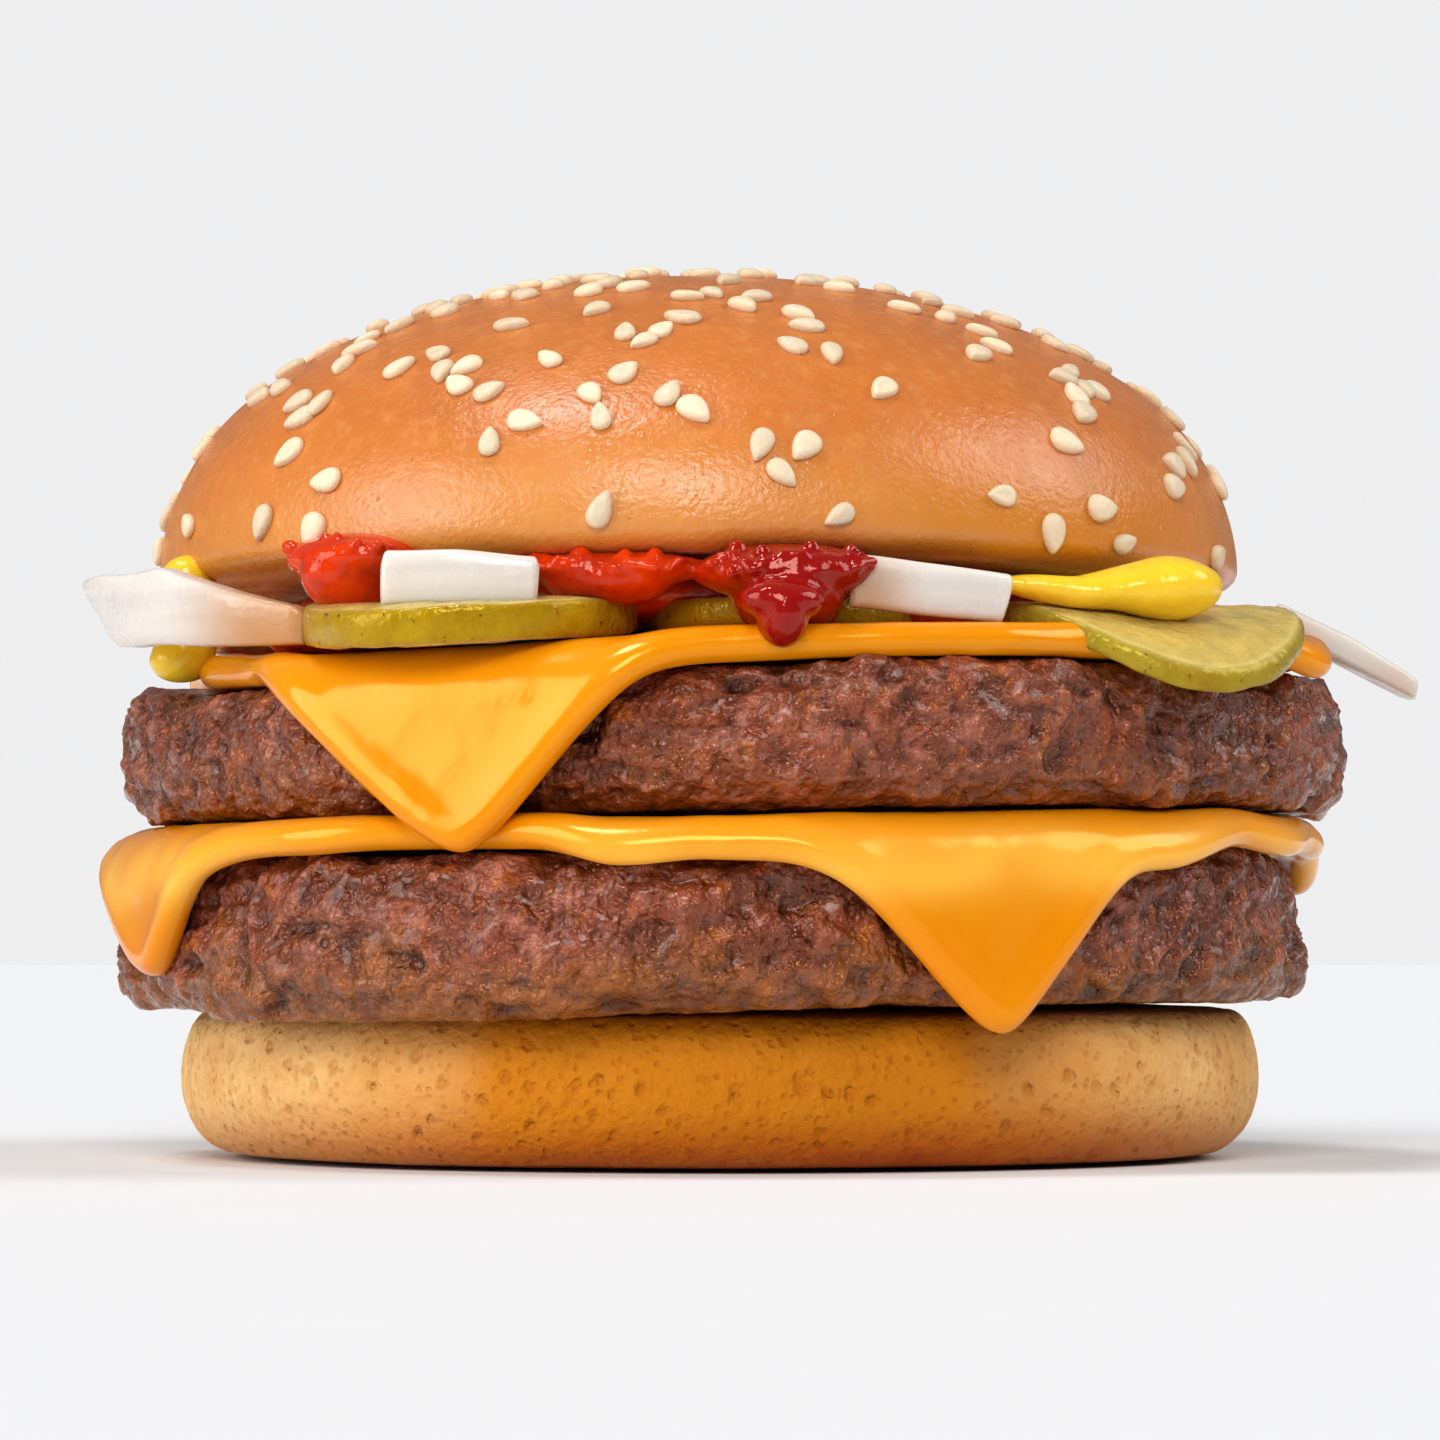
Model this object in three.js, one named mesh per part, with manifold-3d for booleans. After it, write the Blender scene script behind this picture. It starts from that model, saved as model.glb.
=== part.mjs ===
// A double cheeseburger: a seeded crown and a plain heel of soft bun, and between them two beef patties,
// each under a draped slice of cheese, with pickle slices, onion slivers, ketchup and mustard on top.
// Millimetres, +Z up, the viewer at -Y. The origin is the middle of the heel's flat foot, on the table.
// An azimuth is measured round the burger from the viewer's side, 0 in front and 90 degrees to the right.

import * as THREE from "three";
import { mergeVertices } from "three/addons/utils/BufferGeometryUtils.js";
import Module from "manifold-3d";

const wasm = await Module();
wasm.setup();

// Driving dimensions: the bun is a four-inch one, and the layers follow upwards from the table
const BUN_RADIUS = 51;
const HEEL_HEIGHT = 14.4;
const PATTY_RADIUS = 56.6;
const PATTY_THICKNESS = 13.4;
const CHEESE_THICKNESS = 2.6;
const TOPPING_HEIGHT = 6.6;
const CROWN_HEIGHT = 28.8;
const GAP = 0.3; // between one piece and the next
const WELD = 1e-4;

// Heights of the layers' undersides
const PATTY_LOWER_Z = HEEL_HEIGHT + GAP;
const CHEESE_LOWER_Z = PATTY_LOWER_Z + PATTY_THICKNESS + GAP;
const PATTY_UPPER_Z = CHEESE_LOWER_Z + CHEESE_THICKNESS + GAP;
const CHEESE_UPPER_Z = PATTY_UPPER_Z + PATTY_THICKNESS + GAP;
const TOPPINGS_Z = CHEESE_UPPER_Z + CHEESE_THICKNESS + GAP;
const CROWN_Z = TOPPINGS_Z + TOPPING_HEIGHT;

// Seeds on the crown
const SEED_COUNT = 150;
const SEED_SIZE = { length: 3.4, width: 2.1, thickness: 1.3 };
const SEED_REACH = 0.985; // of the crown's radius
const GOLDEN_ANGLE = Math.PI * (3 - Math.sqrt(5));

const rad = THREE.MathUtils.degToRad;
const { lerp, smoothstep } = THREE.MathUtils;

// A repeatable number from 0 to 1 for item i of stream k.
function draw(i, k) {
  const s = Math.sin(i * 12.9898 + k * 78.233) * 43758.5453;
  return s - Math.floor(s);
}

// An uneven wave round the azimuth, from about -1 to 1, with its own look for each seed.
function unevenness(azimuth, seed) {
  return (
    0.45 * Math.sin(2 * azimuth + seed) +
    0.3 * Math.sin(3 * azimuth + 2.1 * seed) +
    0.25 * Math.sin(5 * azimuth + 3.7 * seed)
  );
}

// The difference between two azimuths, from -180 to 180 degrees.
function turnBetween(a, b) {
  return Math.atan2(Math.sin(a - b), Math.cos(a - b));
}

// A bump of height 1 round one azimuth.
function bump(azimuth, middle, width) {
  return Math.exp(-((turnBetween(azimuth, middle) / width) ** 2));
}

// A geometry whose faces share their corner points.
function welded(geometry) {
  const bare = geometry.index ? geometry.toNonIndexed() : geometry.clone();
  bare.deleteAttribute("normal");
  bare.deleteAttribute("uv");
  return mergeVertices(bare, WELD);
}

// The solid that a closed geometry bounds.
function solidOf(geometry) {
  const merged = welded(geometry);
  return new wasm.Manifold(
    new wasm.Mesh({
      numProp: 3,
      vertProperties: merged.attributes.position.array,
      triVerts: new Uint32Array(merged.index.array),
    }),
  );
}

// The geometry of a solid.
function geometryOf(solid) {
  const mesh = solid.getMesh();
  return new THREE.BufferGeometry()
    .setAttribute("position", new THREE.BufferAttribute(mesh.vertProperties, 3))
    .setIndex(new THREE.BufferAttribute(mesh.triVerts, 1));
}

// One solid of the geometries in `joined`, without the space of those in `removed`.
function carved(joined, removed = []) {
  let solid = joined.map(solidOf).reduce((a, b) => a.add(b));
  for (const geometry of removed) solid = solid.subtract(solidOf(geometry));
  return geometryOf(solid);
}

// A body of revolution whose points `place` then moves. It gets a profile point, the azimuth and the point's
// number in the profile, and gives the new distance from the axis and the new height. `spread` moves the
// azimuths themselves.
function turned(profile, segments, place, spread = (azimuth) => azimuth) {
  const geometry = new THREE.LatheGeometry(profile, segments).rotateX(rad(90));
  const points = geometry.attributes.position;
  for (let k = 0; k < points.count; k++) {
    const step = k % profile.length;
    const line = Math.floor(k / profile.length) % segments;
    const azimuth = spread((2 * Math.PI * line) / segments);
    const [r, z] = place(profile[step], azimuth, step);
    points.setXYZ(k, r * Math.sin(azimuth), -r * Math.cos(azimuth), z);
  }
  return geometry;
}

// The heel of the bun: a flat foot, a round lower corner, a full side and a flat cut top.
function heelGeometry() {
  const outline = [
    [0, 0],
    [45, 0],
    [48.6, 1.7],
    [50.3, 5],
    [50.5, 9.4],
    [49.5, 13],
    [47.4, HEEL_HEIGHT],
    [0, HEEL_HEIGHT],
  ].map(([r, z]) => new THREE.Vector2(r, z));
  return turned(outline, 40, (p, azimuth) => [
    p.x * (1 + 0.008 * unevenness(azimuth, 4.2)),
    p.y,
  ]);
}

// The corners of the two slices of cheese: which way each points, how far it is along the slice from its
// middle, and how many times steeper than a right angle's its two sides fall away
const LOWER_CORNERS = [
  { azimuth: 26.3, reach: 73.2, steep: [1.1, 1.35] },
  { azimuth: 98, reach: 59, steep: [1, 1] },
  { azimuth: 203, reach: 70, steep: [1, 1] },
  { azimuth: -63, reach: 66.4, steep: [0.55, 1.1] },
];
const UPPER_CORNERS = [
  { azimuth: -23.7, reach: 71.3, steep: [0.85, 1.2] },
  { azimuth: 65, reach: 58, steep: [1, 1] },
  { azimuth: 150, reach: 69, steep: [1, 1] },
  { azimuth: 234, reach: 66, steep: [1, 1] },
];

// Beef patties
const PATTY_EDGE = 5; // how far in from the rim the top and bottom begin to round over
const PATTY_SQUARENESS = 0.62; // 1 is an elliptical edge, less is squarer
const PATTY_SEGMENTS = 64;
const PATTY_SIDE_STEPS = 6;
const PATTY_LOWER = {
  x: -0.9,
  z: PATTY_LOWER_Z,
  seed: 1.7,
  corners: LOWER_CORNERS,
  presses: [
    { azimuth: 98, width: 30, depth: 2 },
    { azimuth: -78, width: 28, depth: 2.2 },
  ],
  sags: [
    { azimuth: -38, width: 34, from: 45, to: 54, top: 0, bottom: 1.5 },
    { azimuth: 55, width: 50, from: 42, to: 54, top: -1.2, bottom: 0 },
  ],
};
const PATTY_UPPER = {
  x: 1.2,
  z: PATTY_UPPER_Z,
  seed: 5.3,
  corners: UPPER_CORNERS,
  presses: [],
  sags: [
    { azimuth: -48, width: 38, from: 20, to: 50, top: 1.8, bottom: 0 },
    { azimuth: 55, width: 50, from: 42, to: 54, top: -0.7, bottom: 0 },
    { azimuth: 55, width: 52, from: 40, to: 52, top: 0, bottom: -1.35 },
  ],
};

// Distance of a patty's rim from its own axis, without the meat's relief. It is dented under the cheese's
// corners and pressed in above its middle. The level is from -1 at the bottom to 1 at the top.
function pattyRim(patty, azimuth, level = 1) {
  let rim = PATTY_RADIUS + 0.7 * unevenness(azimuth, patty.seed);
  for (const press of patty.presses) {
    const pressed = bump(azimuth, rad(press.azimuth), rad(press.width));
    rim -= press.depth * pressed * smoothstep(level, -0.3, 0.4);
  }
  for (const corner of patty.corners) {
    const dent = 0.1 * (corner.reach - PATTY_RADIUS);
    rim -= dent * bump(azimuth, rad(corner.azimuth), rad(14));
  }
  return rim;
}

// How far the patty's top or bottom sags towards its rim. Where it rises, the sag is negative.
function pattySag(patty, azimuth, r, face) {
  let total = 0;
  for (const sag of patty.sags) {
    const here = bump(azimuth, rad(sag.azimuth), rad(sag.width));
    total += sag[face] * here * smoothstep(r, sag.from, sag.to);
  }
  return total;
}

// Lumps of minced meat on the rim, from about -1 to 1.
function mince(azimuth, z, seed) {
  return (
    0.4 * Math.sin(17 * azimuth + 0.55 * z + seed) +
    0.35 * Math.sin(29 * azimuth - 0.8 * z + 2.3 * seed) +
    0.25 * Math.sin(23 * azimuth + 1.3 * z + 4.1 * seed)
  );
}

function pattyGeometry(patty, grow = 0, segments = PATTY_SEGMENTS) {
  const half = PATTY_THICKNESS / 2;
  // Each point is a share of the way out to the round edge, and its angle up or down on that edge
  const flat = [0, 0.9];
  const outline = flat.map((share) => [share, -90]);
  for (let k = 0; k <= PATTY_SIDE_STEPS; k++) {
    outline.push([1, -90 + (180 * k) / PATTY_SIDE_STEPS]);
  }
  outline.push([0, 90]);
  const profile = outline.map(([share, angle]) => new THREE.Vector2(share, angle));
  return turned(profile, segments, (p, azimuth) => {
    const side = Math.sign(p.y);
    const out = Math.cos(rad(p.y)) ** PATTY_SQUARENESS;
    const up = side * Math.abs(Math.sin(rad(p.y))) ** PATTY_SQUARENESS * half;
    const lumps = 0.6 * mince(azimuth, up, patty.seed) * out;
    const rim = pattyRim(patty, azimuth, up / half);
    const edge = rim - PATTY_EDGE * (1 - out) + lumps;
    const r = p.x * (edge + grow);
    const face = side > 0 ? "top" : "bottom";
    const sag = pattySag(patty, azimuth, r, face) * Math.abs(up / half);
    return [r, patty.z + half + up - sag + side * grow];
  }).translate(patty.x, 0, 0);
}

// Cheese slices: each lies on its patty, bends over the rim and hangs down at its corners.
const CHEESE_BEND = 2.6; // radius of the underside's bend over the rim
const CHEESE_TIP = 0.05; // radians of azimuth that a corner's tip is rounded over
const CHEESE_CLEAR = 1; // from the patty's mean rim to the hanging cheese
const CHEESE_LOWER = {
  patty: PATTY_LOWER,
  z: CHEESE_LOWER_Z,
  seed: 2.4,
  flare: 0.02,
  edge: 57.2, // along the slice from its middle to an edge, between two corners
  sweep: 5,
  insets: [
    { azimuth: 160, width: 24, depth: 3 },
    { azimuth: 20, width: 48, depth: -2 },
    { azimuth: -23.7, width: 9, depth: 2.9 },
  ],
};
const CHEESE_UPPER = {
  patty: PATTY_UPPER,
  z: CHEESE_UPPER_Z,
  seed: 0.6,
  flare: 0.13,
  edge: 54.4,
  sweep: 6.5,
  insets: [
    { azimuth: -90, width: 22, depth: 7 },
    { azimuth: 93, width: 14, depth: 4.5 },
  ],
};

// Distance along the slice from its middle to its edge. A corner is a right angle with a round tip.
function cheeseReach(slice, azimuth) {
  let reach = slice.edge + 0.6 * unevenness(azimuth, slice.seed);
  for (const inset of slice.insets) {
    reach -= inset.depth * bump(azimuth, rad(inset.azimuth), rad(inset.width));
  }
  for (const corner of slice.patty.corners) {
    const turn = turnBetween(azimuth, rad(corner.azimuth));
    const past = turn * corner.steep[turn > 0 ? 1 : 0];
    const fall = PATTY_RADIUS * (Math.hypot(past, CHEESE_TIP) - CHEESE_TIP);
    const tip = corner.reach - fall;
    // A smooth maximum, so that the edges sweep into the corner
    reach = (reach + tip + Math.hypot(reach - tip, slice.sweep)) / 2;
  }
  return reach;
}

// A point of the slice at `along` from its middle and `up` above its underside.
function cheesePoint(slice, azimuth, along, up) {
  const hang = pattyRim(slice.patty, azimuth) + CHEESE_CLEAR;
  const fold = hang - CHEESE_BEND;
  const bend = CHEESE_BEND + CHEESE_THICKNESS / 2;
  const turn = Math.min(Math.max((along - fold) / bend, 0), Math.PI / 2);
  const drop = Math.max(along - fold - (bend * Math.PI) / 2, 0);
  const r =
    Math.min(along, fold) +
    (CHEESE_BEND + up) * Math.sin(turn) +
    slice.flare * drop;
  const z =
    slice.z -
    pattySag(slice.patty, azimuth, r, "top") -
    CHEESE_BEND +
    (CHEESE_BEND + up) * Math.cos(turn) -
    drop;
  return [r, z];
}

function cheeseGeometry(slice, grow = 0) {
  // Lines along the slice: where the bend begins, its middle, its end, and the slice's edge
  const arc = ((CHEESE_BEND + CHEESE_THICKNESS / 2) * Math.PI) / 2;
  const lines = [0, 0.5 * arc, arc, Infinity];
  const underside = lines.map((past, k) => ({ past, k, up: 0 }));
  const upside = lines.map((past, k) => ({ past, k, up: 1 })).reverse();
  const stations = [null, ...underside, ...upside, null];
  const profile = stations.map((s, k) => new THREE.Vector2(s ? 1 : 0, k));
  const place = (p, azimuth, step) => {
    const station = stations[step];
    if (!station) {
      const top = step > 0 ? CHEESE_THICKNESS + grow : -grow;
      return [0, slice.z + top];
    }
    const fold = pattyRim(slice.patty, azimuth) + CHEESE_CLEAR - CHEESE_BEND;
    // Between the corners, where the slice ends before a line, the line stays just inside the edge
    const last = lines.length - 1 - station.k;
    const reach = cheeseReach(slice, azimuth) + grow - 0.5 * last;
    const rounding = last === 0 ? 0.22 : 0;
    const up =
      lerp(rounding, 1 - rounding, station.up) * (CHEESE_THICKNESS + 2 * grow) -
      grow;
    return cheesePoint(
      slice,
      azimuth,
      Math.min(fold + station.past, reach),
      up,
    );
  };
  // Closer lines near the corners
  const first = rad(slice.patty.corners[0].azimuth);
  const spread = (azimuth) => azimuth - 0.14 * Math.sin(4 * (azimuth - first));
  return turned(profile, 52, place, spread).translate(slice.patty.x, 0, 0);
}

// Pickle slices: round, a little wavy, tilted towards `lean` and bent down past `bend` from the middle.
const PICKLES = {
  pickle_left: {
    at: [-22.3, -40.8, TOPPINGS_Z + 1.5],
    radius: 15.1,
    thickness: 3.9,
    tilt: 7,
    lean: -20,
    droop: 0,
    seed: 0.8,
  },
  pickle_middle: {
    at: [5.2, -36, TOPPINGS_Z + 1.4],
    radius: 12,
    thickness: 2.8,
    tilt: 0,
    lean: 0,
    droop: 0,
    seed: 2.2,
  },
  pickle_right: {
    at: [38.6, -33.2, TOPPINGS_Z + 1.5],
    radius: 14,
    thickness: 2.5,
    tilt: 3,
    lean: 24,
    droop: 5.3,
    seed: 3.9,
  },
  pickle_back: {
    at: [-10, 41, TOPPINGS_Z + 1.9],
    radius: 14,
    thickness: 3.2,
    tilt: 2,
    lean: 195,
    droop: 0.8,
    seed: 5.1,
  },
};

function pickleGeometry(pickle, grow = 0, segments = 20) {
  const half = pickle.thickness / 2 + grow;
  const rim = pickle.radius + grow;
  const profile = [
    [0, -half],
    [0.6 * rim, -half],
    [rim - 0.5, -half],
    [rim, 0],
    [rim - 0.4, half],
    [0.6 * rim, half],
    [0, half],
  ].map(([r, z]) => new THREE.Vector2(r, z));
  const slice = turned(profile, segments, (p, azimuth) => [
    p.x * (1 + 0.022 * unevenness(azimuth, pickle.seed)),
    p.y,
  ]);
  // The soft slice bends down on the side that it leans to, which is -Y until it is turned there
  const points = slice.attributes.position;
  for (let k = 0; k < points.count; k++) {
    const past = Math.max(-points.getY(k) / pickle.radius, 0);
    points.setZ(k, points.getZ(k) - pickle.droop * past ** 2);
  }
  return slice
    .rotateX(rad(pickle.tilt))
    .rotateZ(rad(pickle.lean))
    .translate(...pickle.at);
}

// Onion slivers: short walls cut from a ring, bent along their length and thinner at one or both ends.
const ONIONS = {
  onion_left: {
    at: [-50, -30, TOPPINGS_Z + 2.05],
    size: [35, 2.6, 7],
    bend: 38,
    turn: -52,
    pitch: 1,
    taper: [0.1, 0.55],
  },
  onion_center: {
    at: [-22.7, -51.4, TOPPINGS_Z + 4.2],
    size: [13.6, 3.4, 4.9],
    bend: 40,
    turn: -6,
    pitch: 2,
    taper: [0, 0.05],
  },
  onion_right: {
    at: [18.4, -49.2, TOPPINGS_Z + 3.35],
    size: [14.2, 2.6, 4.6],
    bend: 30,
    turn: 14,
    pitch: 5,
    taper: [0, 0.05],
  },
  onion_far_right: {
    at: [58.6, -5, TOPPINGS_Z - 0.2],
    size: [15, 5.2, 2.6],
    bend: 60,
    turn: 5,
    pitch: 26,
    taper: [0, 0.3],
  },
  onion_back_right: {
    at: [33.5, 39.5, TOPPINGS_Z + 2.5],
    size: [17, 2.6, 4.9],
    bend: 32,
    turn: 140,
    pitch: 0,
    taper: [0.25, 0.1],
  },
  onion_back_left: {
    at: [-46.5, 23, TOPPINGS_Z + 2.6],
    size: [20, 2.5, 5],
    bend: 34,
    turn: -114,
    pitch: -2,
    taper: [0.1, 0.4],
  },
};

function onionGeometry(onion, grow = 0) {
  const [length, thickness, height] = onion.size.map((s) => s + 2 * grow);
  const wall = welded(
    new THREE.BoxGeometry(length, thickness, height, 6, 1, 2),
  );
  const points = wall.attributes.position;
  for (let k = 0; k < points.count; k++) {
    const x = points.getX(k);
    const share = (2 * x) / length; // -1 at one end and 1 at the other
    const taper = share < 0 ? onion.taper[0] : onion.taper[1];
    const narrow = 1 - Math.abs(share) * taper;
    const foot = -height / 2;
    // The middle of the height bulges a little, as a layer of an onion does
    const bulge = points.getZ(k) === 0 ? Math.sign(points.getY(k)) * 0.25 : 0;
    const out = onion.bend - points.getY(k) - bulge;
    const angle = x / onion.bend;
    points.setXYZ(
      k,
      out * Math.sin(angle),
      onion.bend - out * Math.cos(angle),
      foot + (points.getZ(k) - foot) * narrow,
    );
  }
  return wall
    .rotateY(rad(onion.pitch))
    .rotateZ(rad(onion.turn))
    .translate(...onion.at);
}

// An egg-shaped blob of sauce.
function blob(at, radii, grow = 0) {
  return new THREE.SphereGeometry(1, 8, 5)
    .rotateX(rad(90))
    .scale(...radii.map((r) => r + grow))
    .translate(...at);
}

// Mustard: drops strung together, each with its middle and its radii.
const MUSTARDS = {
  mustard_left: [
    [[-49, -19.5, TOPPINGS_Z + 5.7], [2.6, 2.5, 2.3]],
    [[-48.8, -17.5, TOPPINGS_Z + 2], [2.6, 2.6, 4.4]],
    [[-49.6, -18.5, TOPPINGS_Z - 1.6], [3, 3.1, 2.2]],
  ],
  mustard_right: [
    [[26.8, -42, TOPPINGS_Z + 4.2], [4, 1.5, 0.9]],
    [[33, -41.6, TOPPINGS_Z + 3.5], [4.5, 2.3, 1.5]],
    [[40, -39, TOPPINGS_Z + 4.1], [4.8, 4, 2.9]],
  ],
};

function mustardGeometries(drops, grow = 0) {
  return drops.map(([at, radii]) => blob(at, radii, grow));
}

// The crown: an elliptical dome that rounds under at its rim. Its sides droop a little, left and right.
const CROWN_CENTRE_X = -1.9;
const CROWN_RIM_HEIGHT = 2.4; // from the cut face to the widest part
const CROWN_CORNER = 4.6; // how far in from the widest part the cut face ends
const CROWN_DROOP = 1.8;
const CROWN_DOME = CROWN_HEIGHT - CROWN_RIM_HEIGHT;

function crownRadius(azimuth) {
  return BUN_RADIUS * (1 + 0.006 * unevenness(azimuth, 2.9));
}

function crownDroop(azimuth, r) {
  return (CROWN_DROOP * Math.sin(azimuth) ** 2 * r) / BUN_RADIUS;
}

// A point of the crown at `share` of its radius and `rise` above its cut face.
function crownPoint(azimuth, share, rise) {
  const r = share * crownRadius(azimuth);
  const low = 1 - smoothstep(rise, CROWN_RIM_HEIGHT, 0.6 * CROWN_HEIGHT);
  return [r, CROWN_Z + rise - low * crownDroop(azimuth, r)];
}

function crownGeometry(grow = 0, segments = 40) {
  const corner = CROWN_CORNER / BUN_RADIUS;
  const outline = [[0, -grow]];
  for (let angle = 90; angle > 0; angle -= 30) {
    outline.push([
      1 - corner * (1 - Math.cos(rad(angle))),
      CROWN_RIM_HEIGHT * (1 - Math.sin(rad(angle))) - grow,
    ]);
  }
  for (const angle of [0, 12, 24, 37, 50, 63, 75, 84]) {
    outline.push([
      Math.cos(rad(angle)),
      CROWN_RIM_HEIGHT + CROWN_DOME * Math.sin(rad(angle)),
    ]);
  }
  outline.push([0, CROWN_HEIGHT]);
  const profile = outline.map(([share, rise]) => new THREE.Vector2(share, rise));
  return turned(profile, segments, (p, azimuth) => {
    const [r, z] = crownPoint(azimuth, p.x, p.y);
    return [p.x > 0 ? r + grow : 0, z];
  }).translate(CROWN_CENTRE_X, 0, 0);
}

// One sesame seed, lying half sunk in the dome: longer than wide, and pointed at one end.
function seedGeometry(i) {
  const size = 0.88 + 0.24 * draw(i, 3);
  const seed = new THREE.SphereGeometry(1, 6, 2).rotateX(rad(90));
  const points = seed.attributes.position;
  for (let k = 0; k < points.count; k++) {
    const x = points.getX(k);
    points.setXYZ(
      k,
      (x * size * SEED_SIZE.length) / 2,
      (points.getY(k) * (1 - 0.4 * x) * size * SEED_SIZE.width) / 2,
      (points.getZ(k) * size * SEED_SIZE.thickness) / 2,
    );
  }
  const share = (i + 0.5 + 2.4 * (draw(i, 1) - 0.5)) / SEED_COUNT;
  const out = SEED_REACH * Math.sqrt(Math.min(Math.abs(share), 1));
  const azimuth = i * GOLDEN_ANGLE + 0.55 * (draw(i, 2) - 0.5);
  const climb = Math.sqrt(1 - out ** 2);
  const [r, z] = crownPoint(
    azimuth,
    out,
    CROWN_RIM_HEIGHT + CROWN_DOME * climb,
  );
  const outward = new THREE.Vector3(
    (out * Math.sin(azimuth)) / BUN_RADIUS,
    (-out * Math.cos(azimuth)) / BUN_RADIUS,
    climb / CROWN_DOME,
  ).normalize();
  const up = new THREE.Vector3(0, 0, 1);
  const spin = new THREE.Quaternion().setFromAxisAngle(
    up,
    2 * Math.PI * draw(i, 4),
  );
  const lie = new THREE.Quaternion()
    .setFromUnitVectors(up, outward)
    .multiply(spin);
  return seed
    .applyQuaternion(lie)
    .translate(
      CROWN_CENTRE_X + r * Math.sin(azimuth),
      -r * Math.cos(azimuth),
      z,
    );
}

function seedGeometries() {
  return Array.from({ length: SEED_COUNT }, (_, i) => seedGeometry(i));
}

// Ketchup: a layer under the crown, with lumps that the crown squeezes out past its edge.
const KETCHUP_RADIUS = 43.5;
const KETCHUP_LUMPS = [
  { azimuth: -39.5, r: 49.6, z: TOPPINGS_Z + 5.2, radii: [7.4, 7.4, 3.9] },
  { azimuth: -12, r: 47, z: TOPPINGS_Z + 4.4, radii: [9.5, 5, 2.5] },
  { azimuth: 7, r: 48.8, z: TOPPINGS_Z + 3.3, radii: [8.4, 7.6, 4.2] },
  { azimuth: 5.5, r: 55.6, z: TOPPINGS_Z + 1, radii: [3.9, 3.7, 3] },
  { azimuth: 112, r: 45, z: TOPPINGS_Z + 3.2, radii: [9, 6.5, 3] },
  { azimuth: 222, r: 46, z: TOPPINGS_Z + 2.9, radii: [7, 7, 2.8] },
];

function ketchupGeometries() {
  const top = TOPPING_HEIGHT - GAP;
  const profile = [
    [0, 0],
    [0.94, 0],
    [1, 0.5 * top],
    [0.95, top],
    [0, top],
  ].map(([r, z]) => new THREE.Vector2(r * KETCHUP_RADIUS, z));
  const layer = turned(profile, 20, (p, azimuth) => {
    const r = p.x * (1 + 0.035 * unevenness(azimuth, 1.1));
    return [r, TOPPINGS_Z + p.y - (p.y > 0 ? crownDroop(azimuth, r) : 0)];
  }).translate(CROWN_CENTRE_X, 0, 0);
  const lumps = KETCHUP_LUMPS.map((lump) =>
    blob([0, -lump.r, lump.z], lump.radii).rotateZ(rad(lump.azimuth)),
  );
  return [layer, ...lumps];
}

// A finish for each food
const food = (color, roughness) =>
  new THREE.MeshStandardMaterial({ color, roughness, metalness: 0 });
const CRUST = food(0xc8772e, 0.45);
const HEEL_CRUMB = food(0xd9a452, 0.75);
const BEEF = food(0x5b3527, 0.5);
const CHEESE = food(0xf7a60f, 0.35);
const PICKLE = food(0x99952a, 0.35);
const ONION = food(0xe9e6e1, 0.3);
const KETCHUP = food(0xa8180c, 0.2);
const MUSTARD = food(0xeeb50f, 0.3);

const burger = new THREE.Group();

function addNode(name, geometry, material) {
  const node = new THREE.Mesh(geometry, material);
  node.name = name;
  burger.add(node);
}

// What the soft pieces give way to, grown by the gap and with fewer sides
const grownPickles = Object.values(PICKLES).map((pickle) =>
  pickleGeometry(pickle, 2.4 * GAP, 12),
);
const grownOnions = Object.values(ONIONS).map((onion) =>
  onionGeometry(onion, GAP),
);
const grownCheese = cheeseGeometry(CHEESE_UPPER, GAP);
const grownPatty = pattyGeometry(PATTY_UPPER, 1.5 * GAP, 40);
const grownMustards = Object.values(MUSTARDS).flatMap((drops) =>
  mustardGeometries(drops, GAP),
);
const grownCrown = crownGeometry(2.5 * GAP, 20);

addNode("heel", heelGeometry(), HEEL_CRUMB);
addNode("patty_lower", pattyGeometry(PATTY_LOWER), BEEF);
addNode("patty_upper", pattyGeometry(PATTY_UPPER), BEEF);
addNode("cheese_lower", cheeseGeometry(CHEESE_LOWER), CHEESE);
addNode(
  "cheese_upper",
  carved([cheeseGeometry(CHEESE_UPPER)], grownPickles),
  CHEESE,
);
for (const [name, pickle] of Object.entries(PICKLES)) {
  addNode(name, pickleGeometry(pickle), PICKLE);
}
for (const [name, onion] of Object.entries(ONIONS)) {
  addNode(name, carved([onionGeometry(onion)], grownPickles), ONION);
}
addNode("crown", carved([crownGeometry(), ...seedGeometries()]), CRUST);
for (const [name, drops] of Object.entries(MUSTARDS)) {
  addNode(
    name,
    carved(mustardGeometries(drops), [
      ...grownPickles,
      ...grownOnions,
      grownPatty,
      grownCheese,
      grownCrown,
    ]),
    MUSTARD,
  );
}
addNode(
  "ketchup",
  carved(ketchupGeometries(), [
    ...grownPickles,
    ...grownOnions,
    ...grownMustards,
    grownCheese,
    grownCrown,
  ]),
  KETCHUP,
);

export default burger;
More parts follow.
